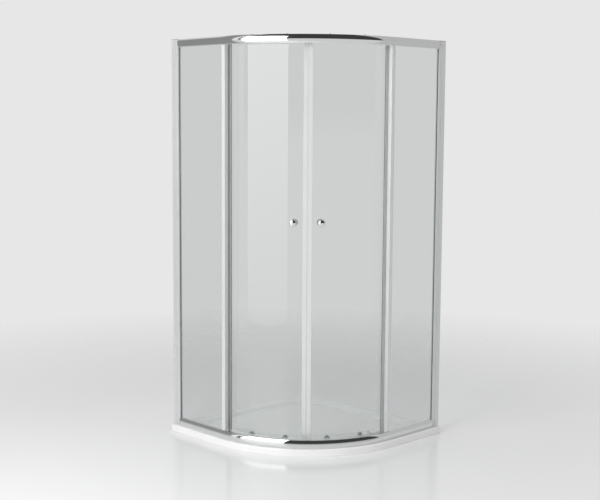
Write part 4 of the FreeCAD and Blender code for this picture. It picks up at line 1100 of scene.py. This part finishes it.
def reflected_room(tree, direction):
    """Brightness that metal and glass reflect from a direction, as ROOM gives it."""
    split = split_vector(tree, direction)
    turn = scalar(tree, "ARCTAN2", split["Y"], split["X"])
    share = remap(tree, turn, -math.pi, math.pi, 0.0, 1.0)
    ramp = new_node(tree, "ShaderNodeValToRGB")
    tree.links.new(share, ramp.inputs[0])
    stops = ramp.color_ramp.elements
    stops.remove(stops[1])
    for number, (azimuth, above, below) in enumerate(ROOM):
        place = azimuth / 360 + 0.5
        stop = stops.new(place) if number else stops[0]
        stop.position = place
        stop.color = (above, below, 0, 1)
    halves = new_node(tree, "ShaderNodeSeparateColor")
    tree.links.new(ramp.outputs["Color"], halves.inputs[0])
    return remap(tree, split["Z"], -0.02, 0.01, halves.outputs["Green"], halves.outputs["Red"])


def studio_world(studio):
    """An even surround: one brightness lights the object, one is seen, and metal reflects a room."""
    world = bpy.data.worlds.new("Studio")
    tree = bare_tree(world)
    path = new_node(tree, "ShaderNodeLightPath").outputs
    direction = new_node(tree, "ShaderNodeTexCoord").outputs["Generated"]
    room = reflected_room(tree, direction)
    seen = scalar(tree, "MAXIMUM", path["Is Camera Ray"], path["Is Transmission Ray"])
    looked_at = remap(tree, seen, 0.0, 1.0, room, studio.backdrop)
    lighting = scalar(tree, "MINIMUM", path["Diffuse Depth"], 1.0)
    total = remap(tree, lighting, 0.0, 1.0, looked_at, studio.sky)
    glow = wired(tree, "ShaderNodeBackground", Color=(1, 1, 1, 1), Strength=total)
    feed(tree, new_node(tree, "ShaderNodeOutputWorld"), Surface=glow)
    return world


class ENCLOSURE_OT_studio(bpy.types.Operator):
    """Set up the pale floor, the soft lights and the camera."""
    bl_idname = "enclosure.studio"
    bl_label = "Studio"

    def execute(self, context):
        scene = context.scene
        studio = scene.enclosure_studio
        bm = bmesh.new()
        bmesh.ops.create_grid(bm, x_segments=1, y_segments=1, size=30)
        floor_material, tree, shader, coordinates = new_material("Studio floor")
        skin = effect(tree, "Moulded skin", coordinates, peel_size=0.4, mottle_size=2.5)
        pale = tint(tree, skin["Mottle"], (0.86, 0.86, 0.865), (0.84, 0.84, 0.845))
        distance = new_node(tree, "ShaderNodeVectorMath", operation="LENGTH")
        link_in_order(tree, distance, coordinates)
        kept = remap(tree, distance.outputs["Value"], 1.2, 3.6, 1.0, 0.0)
        feed(tree, shader, Base_Color=pale, Roughness=0.16, Specular_IOR_Level=0.35, Alpha=kept)
        floor = mesh_object("studio_floor", bm, floor_material)

        scene.world = studio_world(studio)

        soft_light("key_light", (0.5, -3.4, 1.9), (0, 0, 0.6), (2.0, 2.4), studio.key_power)
        soft_light("fill_light", (3.8, 0.8, 2.4), (0, 0, 0.9), (2.0, 1.6), studio.fill_power)
        soft_light("top_light", (-0.1, 0.1, 3.6), (-0.1, 0.1, 0), (1.8, 1.8), studio.top_power)
        centre = arc_centre()
        turn = math.radians(-86)
        reach = 3.0
        place = (centre.x + reach * math.cos(turn), centre.y + reach * math.sin(turn), 1.9)
        reflected_card("softbox_card", place, (2.36, 3.6), studio.softbox, lower_share=0.35)

        data = bpy.data.cameras.new("camera")
        data.lens = studio.lens
        data.sensor_width = 36
        camera = add_object("camera", data)
        ahead = Vector((math.cos(studio.heading) * math.cos(studio.dip),
                        math.sin(studio.heading) * math.cos(studio.dip), -math.sin(studio.dip)))
        side = ahead.cross(Vector((0, 0, 1))).normalized()
        up = side.cross(ahead)
        tilted_side = side * math.cos(studio.roll) + up * math.sin(studio.roll)
        tilted_up = up * math.cos(studio.roll) - side * math.sin(studio.roll)
        turned = Matrix((tilted_side, tilted_up, -ahead)).transposed().to_4x4()
        camera.matrix_world = Matrix.Translation(studio.camera_place) @ turned
        scene.camera = camera
        scene.view_settings.view_transform = "Standard"
        return {"FINISHED"}


OPERATORS = (ENCLOSURE_OT_studio, ENCLOSURE_OT_tray, ENCLOSURE_OT_drain, ENCLOSURE_OT_rails,
             ENCLOSURE_OT_side_panels, ENCLOSURE_OT_doors, ENCLOSURE_OT_knobs,
             ENCLOSURE_OT_running_gear)
GROUPS_OF_PROPERTIES = (EnclosureSizes, EnclosureFinishes, EnclosureStudio)


class ENCLOSURE_PT_panel(bpy.types.Panel):
    """The enclosure's pieces and settings."""
    bl_idname = "ENCLOSURE_PT_panel"
    bl_label = "Shower enclosure"
    bl_space_type = "VIEW_3D"
    bl_region_type = "UI"
    bl_category = "Enclosure"

    def draw(self, context):
        for operator in OPERATORS:
            self.layout.operator(operator.bl_idname)


def register():
    for group in GROUPS_OF_PROPERTIES:
        bpy.utils.register_class(group)
    bpy.types.Scene.enclosure_sizes = PointerProperty(type=EnclosureSizes)
    bpy.types.Scene.enclosure_finishes = PointerProperty(type=EnclosureFinishes)
    bpy.types.Scene.enclosure_studio = PointerProperty(type=EnclosureStudio)
    for operator in OPERATORS:
        bpy.utils.register_class(operator)
    bpy.utils.register_class(ENCLOSURE_PT_panel)


def unregister():
    bpy.utils.unregister_class(ENCLOSURE_PT_panel)
    for operator in reversed(OPERATORS):
        bpy.utils.unregister_class(operator)
    del bpy.types.Scene.enclosure_studio
    del bpy.types.Scene.enclosure_finishes
    del bpy.types.Scene.enclosure_sizes
    for group in reversed(GROUPS_OF_PROPERTIES):
        bpy.utils.unregister_class(group)


def main():
    register()
    for operator in OPERATORS:
        category, name = operator.bl_idname.split(".")
        getattr(getattr(bpy.ops, category), name)()


if __name__ == "__main__":
    main()
